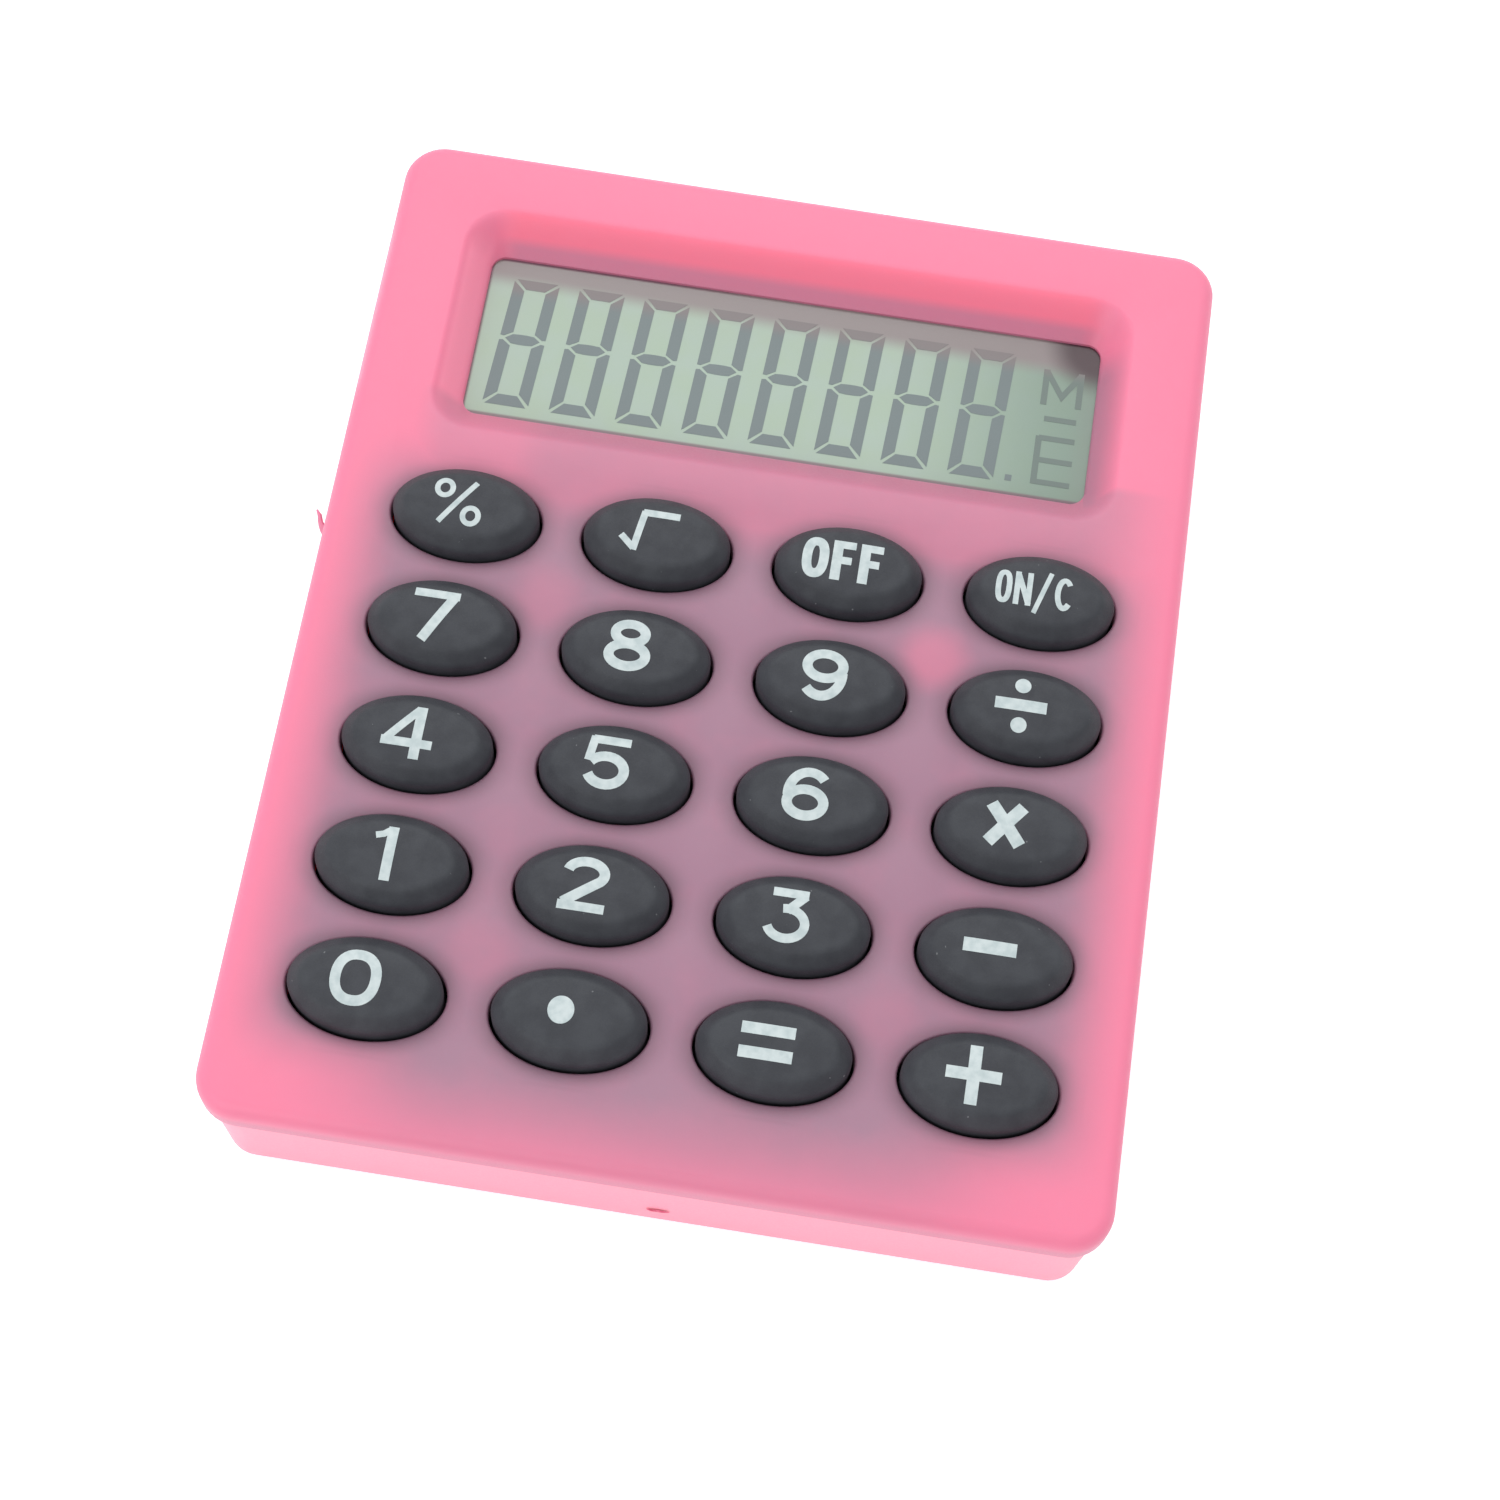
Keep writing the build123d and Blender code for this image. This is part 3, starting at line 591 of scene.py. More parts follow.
def key_rubber():
    """Matt charcoal silicone with a fine moulded grain and a few specks of dust."""
    nodes = NodeTree("charcoal_rubber")
    clouds = nodes.noise(0.9, detail=4.0)
    grain = nodes.noise(14.0, detail=3.0, roughness=0.6)
    colour = nodes.mix_colour(nodes.ramp(clouds, 0.3, 0.7), *RUBBER)
    specks = nodes.ramp(nodes.noise(3.2, detail=1.0), 0.79, 0.82, 0.0, 0.5)
    nodes.set("Base Color", nodes.mix_colour(specks, colour, DUST))
    nodes.set("Roughness", nodes.ramp(grain, 0.3, 0.7, 0.5, 0.66))
    nodes.set("Specular IOR Level", 0.35)
    nodes.bump(grain, 0.012)
    return nodes.material


def legend_ink():
    """Pale grey print, slightly worn."""
    nodes = NodeTree("legend_ink")
    wear = nodes.noise(2.2, detail=4.0)
    nodes.set("Base Color", nodes.mix_colour(nodes.ramp(wear, 0.25, 0.7), INK_WORN, INK_FRESH))
    nodes.set("Roughness", 0.55)
    nodes.bump(nodes.noise(16.0), 0.004)
    return nodes.material


def display_film():
    """Grey-green display background, with painted shade towards the right end and under the edges of
    the frame.
    """
    nodes = NodeTree("display_film")
    clouds = nodes.noise(0.5, detail=2.0)
    tilted_y = nodes.math("ADD", nodes.y, nodes.times(nodes.x, 0.015))
    # Thin painted shadow lines on the film along the window's edges; on the upper edge they fade out
    # towards the middle.
    upper_rim_shadow = nodes.times(
        nodes.ramp(nodes.y, WINDOW_TOP - 0.2, WINDOW_TOP - 0.06, 0.0, 0.7),
        nodes.ramp(nodes.x, -WINDOW_RIGHT / 2, 0.0, 1.0, 0.1),
    )
    lower_rim_shadow = nodes.ramp(nodes.y, WINDOW_FOOT + 0.2, WINDOW_FOOT + 0.36, 0.75, 0.0)
    left_rim_shadow = nodes.ramp(nodes.x, 0.04 - WINDOW_RIGHT, 0.18 - WINDOW_RIGHT, 0.7, 0.0)
    colour = nodes.layers(
        FILM_LEFT,
        (nodes.ramp(clouds, 0.25, 0.75), FILM_MIDDLE),
        # painted shade, darker towards the right
        (nodes.ramp(nodes.x, 5.0, WINDOW_RIGHT, 0.0, 0.8), FILM_RIGHT_SHADE),
        (nodes.ramp(nodes.x, WINDOW_RIGHT - 1.4, WINDOW_RIGHT - 0.2, 0.0, 0.12), FILM_SHADE),
        (nodes.ramp(tilted_y, WINDOW_TOP - 2.2, WINDOW_TOP - 1.0, 0.0, 0.92), FILM_SHADE),
        # painted shadow in the upper right corner
        (nodes.times(nodes.spot(WINDOW_RIGHT, WINDOW_TOP, 1.5, 3.4), 0.95), FILM_CORNER_SHADOW),
        # painted shadow lines along the window's edges
        (nodes.largest(upper_rim_shadow, lower_rim_shadow, left_rim_shadow), FILM_RIM_SHADOW),
    )
    nodes.set("Base Color", colour)
    nodes.set("Roughness", 0.32)
    nodes.bump(nodes.noise(22.0, detail=1.0), 0.002)
    return nodes.material


def display_ink(name, colour):
    """Ink of the display. Under the upper edge of the frame it fades to painted shade, the colour of
    the dim band there.
    """
    nodes = NodeTree(name)
    tone = nodes.noise(0.4, detail=2.0)
    darker = tuple(c * 0.92 for c in colour)
    # Painted shade: the ink takes the band's shaded colour towards the upper edge.
    sunk = nodes.ramp(nodes.y, WINDOW_TOP - 2.5, WINDOW_TOP - 1.5, 0.0, 0.9)
    nodes.set("Base Color", nodes.mix_colour(sunk, nodes.mix_colour(tone, darker, colour), SHADED_INK))
    nodes.set("Roughness", 0.35)
    return nodes.material


def plain_material(name, low, high, roughness, metallic=0.0, scale=1.5, stretch=None, bump=0.004):
    """A two-tone procedural finish for the pieces inside the case."""
    nodes = NodeTree(name)
    grain = nodes.noise(scale, detail=4.0, stretch=stretch)
    nodes.set("Base Color", nodes.mix_colour(nodes.ramp(grain, 0.3, 0.7), low, high))
    nodes.set("Roughness", nodes.ramp(grain, 0.3, 0.7, roughness * 0.85, roughness))
    nodes.set("Metallic", metallic)
    nodes.bump(grain, bump)
    return nodes.material


def glass_material():
    """Clear glass with a faint green tint."""
    nodes = NodeTree("display_glass")
    tint = nodes.noise(0.4)
    nodes.set("Base Color", nodes.mix_colour(tint, *GLASS))
    nodes.set("Roughness", 0.05)
    nodes.set("Transmission Weight", 0.9)
    nodes.set("IOR", 1.5)
    return nodes.material


def board_material():
    """Tan laminate with a woven grain."""
    nodes = NodeTree("board_laminate")
    fibre = nodes.noise(2.0, detail=4.0, stretch=(6.0, 0.7, 1.0))
    nodes.set("Base Color", nodes.mix_colour(nodes.ramp(fibre, 0.3, 0.7), *LAMINATE))
    nodes.set("Roughness", 0.5)
    nodes.bump(fibre, 0.01)
    return nodes.material


# ---- front shell ------------------------------------------------------------------------------
def recess_rings():
    """The sloped frame of the window, with a soft edge where it leaves the face."""
    rings = []
    slope_depth = 0.9 * (FACE_Z - DISPLAY_Z)    # the rest is the straight lip at the display
    soft = 0.08                                 # how far the slope starts outside its outline
    ease = 0.24                                 # how gently it leaves the face
    steps = 14
    for step in range(steps + 1):
        s = step / steps
        t = -soft + (1.0 + soft) * s
        drop = slope_depth * (math.hypot(s, ease) - ease) / (math.hypot(1.0, ease) - ease)
        width = RECESS_W + (WINDOW_W - RECESS_W) * t
        length = RECESS_L + (WINDOW_L - RECESS_L) * t
        radius = RECESS_R + (WINDOW_R - RECESS_R) * t
        rings.append((rounded_rectangle(width, length, radius, WINDOW_Y), FACE_Z - drop))
    rings.append((rounded_rectangle(WINDOW_W, WINDOW_L, WINDOW_R, WINDOW_Y), DISPLAY_Z))
    return rings


def front_shell(material):
    """Face plate, skirt, tongue, window frame, key holes, posts and screw bosses in one skin."""
    build = Build()

    def inset(amount, radius_floor=0.25):
        return rounded_rectangle(
            CASE_W - 2 * amount, CASE_L - 2 * amount, max(CORNER_R - amount, radius_floor)
        )

    side = [
        (inset(PARTING_EDGE_R), PARTING_Z),
        (inset(PARTING_EDGE_R / 4), PARTING_Z + PARTING_EDGE_R / 4),
        (inset(0.0), PARTING_Z + PARTING_EDGE_R),
    ]
    for sideways, down in reversed(quarter_round(FACE_EDGE_R, 8)):
        side.append((inset(sideways), FACE_Z - down))
    foot, face_edge = build.stack(side)

    holes_above, holes_below = [], []
    for centre in KEY_CENTRES.values():
        rings = []
        for sideways, down in quarter_round(HOLE_EDGE_R, 3):
            half_w, half_l = KEY_HALF_W + KEY_GAP + sideways, KEY_HALF_L + KEY_GAP + sideways
            rings.append((ellipse(half_w, half_l, centre.x, centre.y), FACE_Z - down))
        rings.append((ellipse(KEY_HALF_W + KEY_GAP, KEY_HALF_L + KEY_GAP, centre.x, centre.y), PLATE_Z))
        above, below = build.stack(rings)
        holes_above.append(above)
        holes_below.append(below)

    window = recess_rings()
    collar = rounded_rectangle(
        WINDOW_W + 2 * COLLAR_T, WINDOW_L + 2 * COLLAR_T, WINDOW_R + COLLAR_T, WINDOW_Y
    )
    window += [(collar, DISPLAY_Z), (collar, PLATE_Z)]
    recess_edge, collar_edge = build.stack(window)
    build.fill(face_edge, [*holes_above, recess_edge])

    under_edge, inner_foot = build.stack([(inset(SKIRT_T), PLATE_Z), (inset(SKIRT_T), PARTING_Z)])
    build.wall(inner_foot, foot)
    outside, inside = inset(TONGUE_INSET, 0.8), inset(TONGUE_INSET + TONGUE_T, 0.3)
    tongue_out, tongue_in = build.stack(
        [(outside, PLATE_Z), (outside, TONGUE_Z), (inside, TONGUE_Z), (inside, PLATE_Z)]
    )
    build.fill(under_edge, [tongue_out])
    columns = []
    for places, outer, inner, tip, blind in (
        (POSTS, POST_R, POST_PILOT_R, board_high.z, POST_BLIND_Z),
        (CASE_SCREWS, BOSS_R, BOSS_PILOT_R, BOSS_TIP_Z, BOSS_BLIND_Z),
    ):
        for x, y in places:
            column = ellipse(outer, outer, x, y, COLUMN_POINTS)
            bore = ellipse(inner, inner, x, y, COLUMN_POINTS)
            base, pilot = build.stack([(column, PLATE_Z), (column, tip), (bore, tip), (bore, blind)])
            build.fill(pilot)
            columns.append(base)
    build.fill(tongue_in, [*holes_below, collar_edge, *columns])
    skin = build.finish("front_shell_skin", material, "case")
    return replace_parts(skin, "front_shell")


# ---- keys -------------------------------------------------------------------------------------
CROWN = 0.10    # how far the middle of a key stands above the edge of its top
KEY_SIDE = [    # (inset from the key's side, height below the crown), from the foot up
    (0.10, KEY_TOP - KEY_Z), (0.0, KEY_TOP - KEY_Z - 0.1), (0.0, 1.02), (0.03, 0.88),
    (0.09, 0.76), (0.18, 0.65), (0.34, 0.48), (0.48, 0.34), (0.60, 0.23), (0.72, 0.155),
    (0.86, 0.115), (1.0, CROWN),
]
TOP_INSET = KEY_SIDE[-1][0]
KEY_POINTS = 72


def short_name(node):
    """What the names of a key's node, body, cap and legend share."""
    return node.removeprefix("key_")


def key_height(x, y):
    """Height of a key's top relative to its crown, at a place measured from the key's centre."""
    across, along = x / (KEY_HALF_W - TOP_INSET), y / (KEY_HALF_L - TOP_INSET)
    share = math.hypot(across, along)
    if share <= 1.0:
        return -CROWN * share**2
    low, high = 0.0, TOP_INSET
    for _ in range(24):
        middle = (low + high) / 2
        outside = math.hypot(x / (KEY_HALF_W - middle), y / (KEY_HALF_L - middle)) > 1.0
        low, high = (low, middle) if outside else (middle, high)
    for (inner, below), (outer, deeper) in zip(KEY_SIDE[::-1], KEY_SIDE[-2::-1]):
        if outer <= low <= inner:
            return -below - (deeper - below) * (inner - low) / max(inner - outer, 1e-6)
    return -KEY_SIDE[3][1]


def key_cap(node, material):
    """A domed elliptical cap in place of a key's CAD node."""
    build = Build()
    centre = KEY_CENTRES[node]

    def outline(amount, share=1.0):
        half_w, half_l = (KEY_HALF_W - amount) * share, (KEY_HALF_L - amount) * share
        return ellipse(half_w, half_l, centre.x, centre.y, KEY_POINTS)

    rings = [(outline(amount), KEY_TOP - below) for amount, below in KEY_SIDE]
    shares = [1.0 - 0.1 * i for i in range(1, 10)]
    rings += [(outline(TOP_INSET, share), KEY_TOP - CROWN * share**2) for share in shares]
    bottom, top = build.stack(rings)
    build.fill(bottom)
    build.points.append((centre.x, centre.y, KEY_TOP))
    tip = len(build.points) - 1
    build.faces += [(top[i], top[(i + 1) % KEY_POINTS], tip) for i in range(KEY_POINTS)]
    cap = build.finish(node + "_cap", material, "press_" + short_name(node))
    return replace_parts(cap, node)


# ---- printed shapes ---------------------------------------------------------------------------
def resample(points, closed, longest=0.35):
    """The same path with extra points, so that no step is longer than given."""
    ends = points + points[:1] if closed else points
    made = []
    for (ax, ay), (bx, by) in zip(ends, ends[1:]):
        steps = max(1, math.ceil(math.hypot(bx - ax, by - ay) / longest))
        made += [(ax + (bx - ax) * i / steps, ay + (by - ay) * i / steps) for i in range(steps)]
    return made if closed else made + [points[-1]]


def ribbon(width, points, closed=False):
    """Quads of even width along a path."""
    path = [Vector(p) for p in resample(points, closed)]
    count = len(path)
    left, right = [], []
    for i, here in enumerate(path):
        before = path[i - 1] if closed or i else here
        after = path[(i + 1) % count] if closed or i < count - 1 else here
        into = (here - before).normalized() if before != here else (after - here).normalized()
        out = (after - here).normalized() if after != here else into
        along = (into + out).normalized()
        normal = Vector((-along.y, along.x))
        reach = width / 2 / max(normal.dot(Vector((-out.y, out.x))), 0.5)
        left.append(here + normal * reach)
        right.append(here - normal * reach)
    last = count if closed else count - 1
    return [
        [tuple(right[i]), tuple(right[(i + 1) % count]), tuple(left[(i + 1) % count]), tuple(left[i])]
        for i in range(last)
    ]


def arc(cx, cy, rx, ry, start, end, steps=24):
    """An open path round an ellipse, from one angle to another in degrees."""
    angles = [math.radians(start + (end - start) * i / steps) for i in range(steps + 1)]
    return [(cx + rx * math.cos(a), cy + ry * math.sin(a)) for a in angles]


def oval(cx, cy, rx, ry, power=2.0, steps=40):
    """A closed loop, squarer as the power rises above 2."""
    loop = []
    for i in range(steps):
        c, s = math.cos(2 * math.pi * i / steps), math.sin(2 * math.pi * i / steps)
        x = math.copysign(abs(c) ** (2 / power), c)
        y = math.copysign(abs(s) ** (2 / power), s)
        loop.append((cx + rx * x, cy + ry * y))
    return loop


def turned(shapes):
    """The same shapes after half a turn."""
    return [[(-x, -y) for x, y in shape] for shape in shapes]


BOLD, BAR, LIGHT = 0.54, 0.48, 0.30     # stroke widths
SIX = ribbon(BOLD, oval(0.02, -0.52, 0.96, 0.72), True) + ribbon(
    BOLD, arc(0.12, -0.05, 1.06, 1.26, 188, 44)
)
LETTER_F = [
    (BOLD, [(0.0, -1.18), (0.0, 1.18)]),
    (0.46, [(0.0, 0.95), (0.95, 0.95)]),
    (0.44, [(0.0, 0.0), (0.80, 0.0)]),
]


def moved(strokes, dx):
    """Ribbons of (width, path) strokes, shifted sideways."""
    return [shape for width, path in strokes for shape in ribbon(width, [(x + dx, y) for x, y in path])]


# The legends' shapes in millimetres, measured from the middle of each sign.
LEGENDS = {
    "0": ribbon(BOLD, oval(0.0, 0.0, 1.03, 1.22, 2.3), True),
    "1": ribbon(BOLD, [(0.34, -1.48), (0.34, 1.48)])
    + ribbon(0.36, [(-0.52, 0.90), (-0.12, 1.02), (0.22, 1.30)]),
    "2": ribbon(BOLD, arc(0.02, 0.58, 0.95, 0.65, 172, -36) + [(-0.98, -1.12)])
    + ribbon(BAR, [(-1.22, -1.24), (1.22, -1.24)]),
    "3": ribbon(BAR, [(-0.85, 1.24), (1.0, 1.24)])
    + ribbon(BAR, [(0.86, 1.18), (-0.02, 0.24)])
    + ribbon(BAR, arc(0.0, -0.43, 0.98, 0.80, 104, -162)),
    "4": ribbon(0.44, [(0.42, 1.36), (-1.14, -0.58)])
    + ribbon(BAR, [(-1.36, -0.62), (1.34, -0.62)])
    + ribbon(BOLD, [(0.50, 1.48), (0.50, -1.48)]),
    "5": ribbon(BAR, [(-0.88, 1.24), (1.10, 1.24)])
    + ribbon(0.44, [(-0.80, 1.40), (-0.98, -0.02)])
    + ribbon(BOLD, arc(0.0, -0.46, 0.97, 0.78, 150, -158)),
    "6": SIX,
    "7": ribbon(BAR, [(-1.22, 1.24), (1.22, 1.24)]) + ribbon(BOLD, [(0.92, 1.14), (-0.42, -1.48)]),
    "8": ribbon(BOLD, oval(0.0, 0.66, 0.80, 0.56), True)
    + ribbon(BOLD, oval(0.0, -0.60, 0.98, 0.63), True),
    "9": turned(SIX),
    "percent": ribbon(LIGHT, oval(-0.82, 0.74, 0.42, 0.46), True)
    + ribbon(LIGHT, oval(0.82, -0.74, 0.42, 0.46), True)
    + ribbon(LIGHT, [(-0.86, -1.30), (0.86, 1.30)]),
    "root": ribbon(0.36, [(-1.50, -0.42), (-0.72, -1.12)])
    + ribbon(0.38, [(-0.74, -1.22), (-0.40, 1.16)])
    + ribbon(0.42, [(-0.50, 1.08), (1.50, 1.08)]),
    "off": ribbon(0.52, oval(-1.46, 0.0, 0.46, 0.95, 2.5), True)
    + moved(LETTER_F, -0.30)
    + moved(LETTER_F, 1.20),
    "on_clear": ribbon(LIGHT, oval(-1.72, 0.0, 0.29, 0.83, 2.6), True)
    + ribbon(LIGHT, [(-1.00, -0.98), (-1.00, 0.98)])
    + ribbon(LIGHT, [(-0.34, -0.98), (-0.34, 0.98)])
    + ribbon(LIGHT, [(-1.02, 0.90), (-0.32, -0.90)])
    + ribbon(0.26, [(0.02, -1.34), (0.78, 1.14)])
    + ribbon(LIGHT, arc(1.56, 0.0, 0.36, 0.83, 42, 318)),
    "divide": ribbon(0.66, [(-1.38, 0.0), (1.38, 0.0)])
    + [oval(0.0, 1.14, 0.43, 0.43), oval(0.0, -1.14, 0.43, 0.43)],
    "multiply": ribbon(0.68, [(-0.84, -1.08), (0.84, 1.08)])
    + ribbon(0.68, [(-0.84, 1.08), (0.84, -1.08)]),
    "minus": ribbon(0.74, [(-1.38, 0.0), (1.38, 0.0)]),
    "plus": ribbon(0.64, [(-1.42, 0.0), (1.42, 0.0)])
    + ribbon(0.64, [(0.0, -1.55), (0.0, 1.55)]),
    "equals": ribbon(0.62, [(-1.38, 0.64), (1.38, 0.64)])
    + ribbon(0.62, [(-1.38, -0.64), (1.38, -0.64)]),
    "point": [oval(0.0, 0.0, 0.68, 0.74)],
}


def turns_left(shape):
    """Whether a closed outline runs counter-clockwise."""
    ends = zip(shape, shape[1:] + shape[:1])
    return sum(ax * by - bx * ay for (ax, ay), (bx, by) in ends) > 0


def printed(name, shapes, centre, surface, raised, sunk, material, body):
    """A thin closed sheet of ink: the union of flat shapes, laid on a surface.

    surface(x, y) is the height at a place measured from the centre."""
    shapes = [shape if turns_left(shape) else shape[::-1] for shape in shapes]
    corners = [Vector(p) for shape in shapes for p in shape]
    faces, first = [], 0
    for shape in shapes:
        faces.append(list(range(first, first + len(shape))))
        first += len(shape)
    flat, _, triangles, _, _, sources = delaunay_2d_cdt(corners, [], faces, 0, 1e-5)
    kept = [tuple(t) for t, source in zip(triangles, sources) if source]
    build = Build()
    count = len(flat)
    for lift in (raised, -sunk):
        build.points += [
            (centre.x + p.x, centre.y + p.y, centre.z + surface(p.x, p.y) + lift) for p in flat
        ]
    rims = {}
    for a, b, c in kept:
        build.faces += [(a, b, c), (c + count, b + count, a + count)]
        for edge in ((a, b), (b, c), (c, a)):
            if edge[::-1] in rims:
                del rims[edge[::-1]]
            else:
                rims[edge] = True
    build.faces += [(b, a, a + count, b + count) for a, b in rims]
    return build.finish(name, material, body)


PRINT_OFFSET = (-0.39, 0.06)   # the legends are printed a little off the middle of the keys
PRINT_SCALE = 0.96
PRINT_RAISED, PRINT_SUNK = 0.018, 0.03


def key_legend(node, material):
    """The printed sign of a key, following its domed top."""
    name, centre = short_name(node), KEY_CENTRES[node]
    dx, dy = PRINT_OFFSET
    place = Vector((centre.x + dx, centre.y + dy, KEY_TOP))

    def surface(x, y):
        return key_height(x + dx, y + dy)

    shapes = [[(x * PRINT_SCALE, y * PRINT_SCALE) for x, y in shape] for shape in LEGENDS[name]]
    printed(
        "legend_" + name, shapes, place, surface, PRINT_RAISED, PRINT_SUNK,
        material, "press_" + name,
    )


# ---- display ----------------------------------------------------------------------------------
DIGITS = 8
DIGIT_PITCH = 3.62
DIGIT_HALF_W, DIGIT_HALF_L = 1.25, 4.15
DIGIT_SLANT = 0.05
SEGMENT, SEGMENT_GAP = 0.66, 0.13
UPPER_SHARE = 0.9   # the upper half of a digit shows shorter under the edge of the frame
DISPLAY_PLACE = Vector((-14.45, 17.5, DISPLAY_Z))      # the middle of the first digit
DISPLAY_RAISED, DISPLAY_SUNK = 0.012, 0.02
POINT_X, POINT_SIZE = 27.0, 0.36
SIGN_X, SIGN_HALF_W = 29.5, 0.95
SIGN_STEM, SIGN_BAR = 0.34, 0.32                        # stroke widths


def seven_segments():
    """The seven bars of a digit, all of them showing, as on a display that is off."""
    w, h, s, g = DIGIT_HALF_W, DIGIT_HALF_L, SEGMENT, SEGMENT_GAP
    end_bar = [(-w + g, h), (w - g, h), (w - s - g / 2, h - s), (-w + s + g / 2, h - s)]
    upright = [
        (-w, h - g * 1.2), (-w, 0.16), (-w + 0.20, 0.13), (-w + s, s * 0.5 + g), (-w + s, h - s - g)
    ]
    middle = [
        (-w + 0.30, 0.0), (-w + s, -s * 0.45), (-0.2, -s * 0.5), (0.2, -s * 0.5), (w - s, -s * 0.45),
        (w - 0.30, 0.0), (w - s, s * 0.45), (0.2, s * 0.5), (-0.2, s * 0.5), (-w + s, s * 0.45),
    ]
    bars = [middle]
    for sy in (-1, 1):
        bars.append([(x, sy * y) for x, y in end_bar])
        bars += [[(sx * x, sy * y) for x, y in upright] for sx in (-1, 1)]
    bars = [[(x, y * UPPER_SHARE if y > 0.0 else y) for x, y in bar] for bar in bars]
    return [[(x + DIGIT_SLANT * y, y) for x, y in bar] for bar in bars]


def display_print(name, shapes, material):
    """Flat shapes on the display, measured from the middle of the first digit."""
    printed(
        name, shapes, DISPLAY_PLACE, lambda x, y: 0.0, DISPLAY_RAISED, DISPLAY_SUNK,
        material, "case",
    )


def display_marks(ink, sign_ink):
    """Digits, decimal point and the three signs at the right."""
    digits = [
        [(x + DIGIT_PITCH * digit, y) for x, y in bar]
        for digit in range(DIGITS)
        for bar in seven_segments()
    ]
    point_y = -DIGIT_HALF_L + 0.1
    square = ((0, 0), (1, 0), (1.05, 1), (0.05, 1))
    digits.append([(POINT_X + u * POINT_SIZE, point_y + v * POINT_SIZE) for u, v in square])
    display_print("display_digits", digits, ink)

    w = SIGN_HALF_W
    memory = ribbon(SIGN_STEM, [(-w, 0.9), (-w, 3.1)]) + ribbon(SIGN_STEM, [(w, 0.9), (w, 3.1)])
    memory += ribbon(SIGN_BAR, [(-w, 3.0), (0.0, 1.5), (w, 3.0)])
    minus = ribbon(SIGN_BAR, [(-0.8, 0.05), (w, 0.05)])
    error = ribbon(SIGN_STEM, [(-w, -1.05), (-w, -4.0)])
    for y in (-1.15, -2.5, -3.85):
        error += ribbon(SIGN_BAR, [(-w, y), (w + 0.05, y)])
    signs = [[(x + SIGN_X, y) for x, y in shape] for shape in memory + minus + error]
    display_print("display_signs", signs, sign_ink)


# ---- moulding marks ---------------------------------------------------------------------------
NIB_DEPTH = 1.2             # the nib leaves the side this far below the face
NIB_PATH = (                # (distance out of the side, y, rise, radius), from the root to the tip
    (-0.25, 3.95, 0.0, 0.28), (0.03, 4.05, 0.0, 0.25), (0.20, 4.25, 0.0, 0.17),
    (0.33, 4.52, 0.03, 0.14), (0.42, 4.82, 0.07, 0.12), (0.62, 5.10, 0.1, 0.05),
)
NIB_POINTS = 10
NIB_HEIGHT_RATIO = 1.4      # its section is taller than wide
SCAR_X, SCAR_Z = 0.5, 2.9
SCAR_HALF_W, SCAR_HALF_H = 0.55, 0.17
SCAR_REACH = 0.07           # it stands out of the rear shell's inset side by this
SCAR_RINGS = ((1.0, -0.1), (1.0, 0.0), (0.85, 0.55), (0.55, 0.9), (0.2, 1.0))   # (size, height) shares
SCAR_POINTS = 20


def moulding_nib(material):
    """The torn end of the moulding sprue, a tapering curl on the left side of the front shell."""
    path = [(-CASE_W / 2 - out, y, FACE_Z - NIB_DEPTH + rise, r) for out, y, rise, r in NIB_PATH]
    loops = []
    for i, (x, y, z, radius) in enumerate(path):
        before, after = path[max(i - 1, 0)], path[min(i + 1, len(path) - 1)]
        along = Vector((after[0] - before[0], after[1] - before[1])).normalized()
        loop = []
        for j in range(NIB_POINTS):
            turn = 2 * math.pi * j / NIB_POINTS
            aside, up = radius * math.cos(turn), NIB_HEIGHT_RATIO * radius * math.sin(turn)
            loop.append((x - along.y * aside, y + along.x * aside, z + up))
        loops.append(loop)
    build = Build()
    build.tube(loops)
    build.finish("moulding_nib", material, "case")


def gate_scar(material):
    """A shallow blister where the rear shell was cut from its gate, in the lower side."""
    loops = []
    for share, height in SCAR_RINGS:
        loop = []
        for i in range(SCAR_POINTS):
            turn = 2 * math.pi * i / SCAR_POINTS
            size = share * (1.0 + 0.12 * math.sin(2 * turn + 0.6) + 0.07 * math.sin(5 * turn))
            across, up = SCAR_HALF_W * size * math.cos(turn), SCAR_HALF_H * size * math.sin(turn)
            loop.append((SCAR_X + across, rear_low.y + SCAR_REACH * (1.0 - height), SCAR_Z + up))
        loops.append(loop)
    build = Build()
    build.tube(loops)
    build.finish("gate_scar", material, "case")


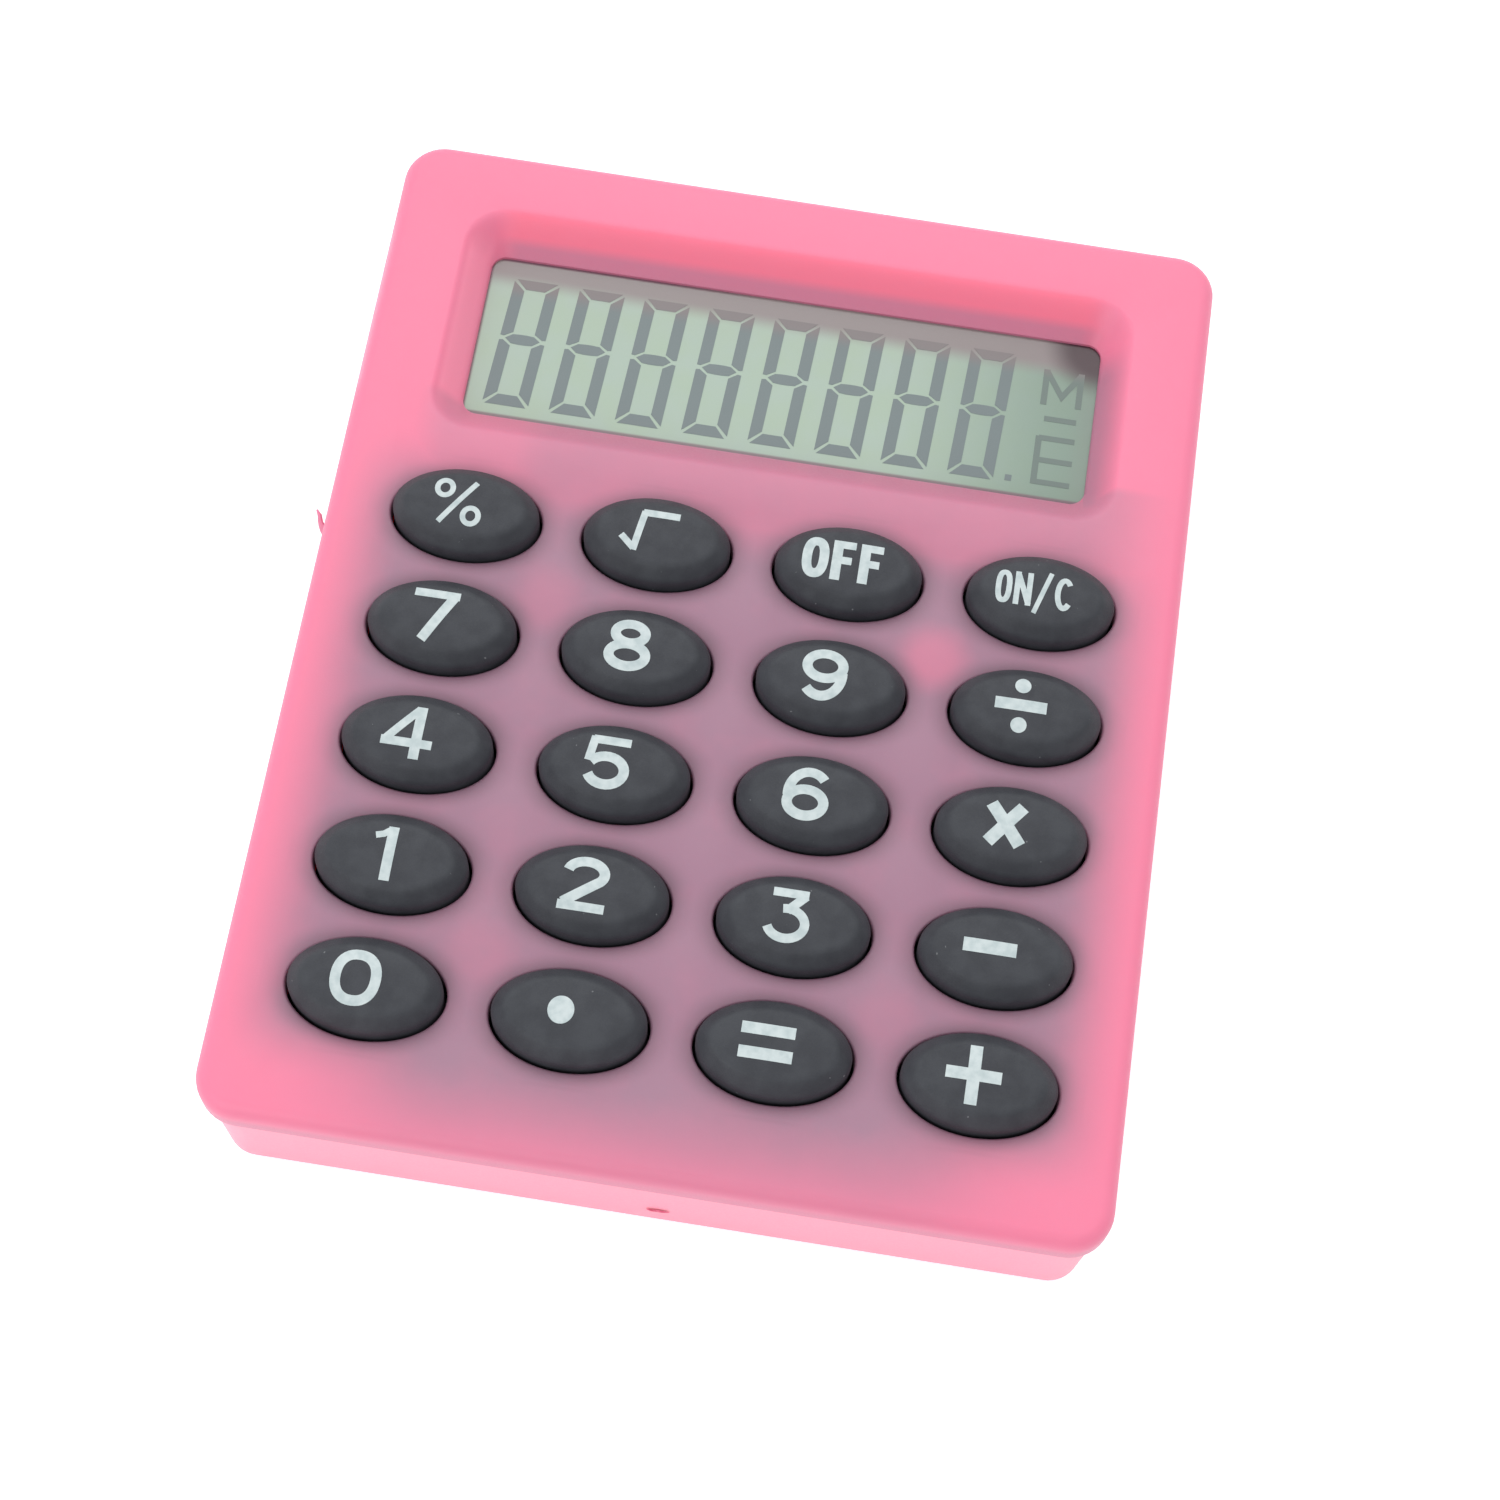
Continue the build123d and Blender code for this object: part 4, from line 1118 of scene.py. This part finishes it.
# ---- everything in place ----------------------------------------------------------------------
def finish_inner_nodes():
    """Materials of the CAD nodes. The replaced ones, keys and front shell, take the mat's rubber."""
    steel = plain_material(
        "screw_steel", (0.42, 0.42, 0.43), (0.58, 0.58, 0.6), 0.38, 1.0, 3.0, (4.0, 1.0, 1.0)
    )
    cell = plain_material("cell_steel", (0.62, 0.62, 0.63), (0.74, 0.74, 0.75), 0.22, 1.0, 2.0)
    gold = plain_material("contact_metal", (0.72, 0.52, 0.24), (0.86, 0.68, 0.36), 0.3, 1.0, 3.0)
    carbon = plain_material(
        "carbon_rubber", (0.012, 0.012, 0.013), (0.03, 0.03, 0.032), 0.7, scale=5.0, bump=0.01
    )
    resin = plain_material("chip_resin", (0.012, 0.012, 0.012), (0.025, 0.025, 0.026), 0.25, scale=1.0)
    mirror = plain_material("reflector_film", (0.5, 0.58, 0.52), (0.6, 0.68, 0.62), 0.35, 0.2, 3.0)
    glass = glass_material()
    finishes = {
        "rear_shell": frosted_rear(),
        "battery_door": frosted_rear(),
        "keypad_mat": key_rubber(),
        "circuit_board": board_material(),
        "contact_pads": gold,
        "cell_contact_positive": gold,
        "cell_contact_negative": gold,
        "chip_blob": resin,
        "chip_capacitor": resin,
        "lcd_front_glass": glass,
        "lcd_rear_glass": glass,
        "lcd_front_polariser": display_film(),
        "lcd_reflector": mirror,
        "zebra_strip": carbon,
        "button_cell": cell,
        "case_screws": steel,
        "board_screws": steel,
        "battery_door_screw": steel,
    }
    for name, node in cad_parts.items():
        material = carbon if name.startswith("carbon_pill_") else finishes.get(name)
        material = material or finishes["keypad_mat"]
        node.data.materials.clear()
        node.data.materials.append(material)
        node.data.shade_smooth()
        node.data.set_sharp_from_angle(angle=math.radians(CAD_SHARP_ANGLE))


make_camera()
make_studio()
finish_inner_nodes()
front_shell_material = frosted_front()
front_shell(front_shell_material)
moulding_nib(front_shell_material)
gate_scar(scar_plastic())
rubber, ink = key_rubber(), legend_ink()
for key in KEYS:
    key_cap(key, rubber)
    key_legend(key, ink)
display_marks(display_ink("segment_ink", SEGMENT_INK), display_ink("sign_ink", SIGN_INK))
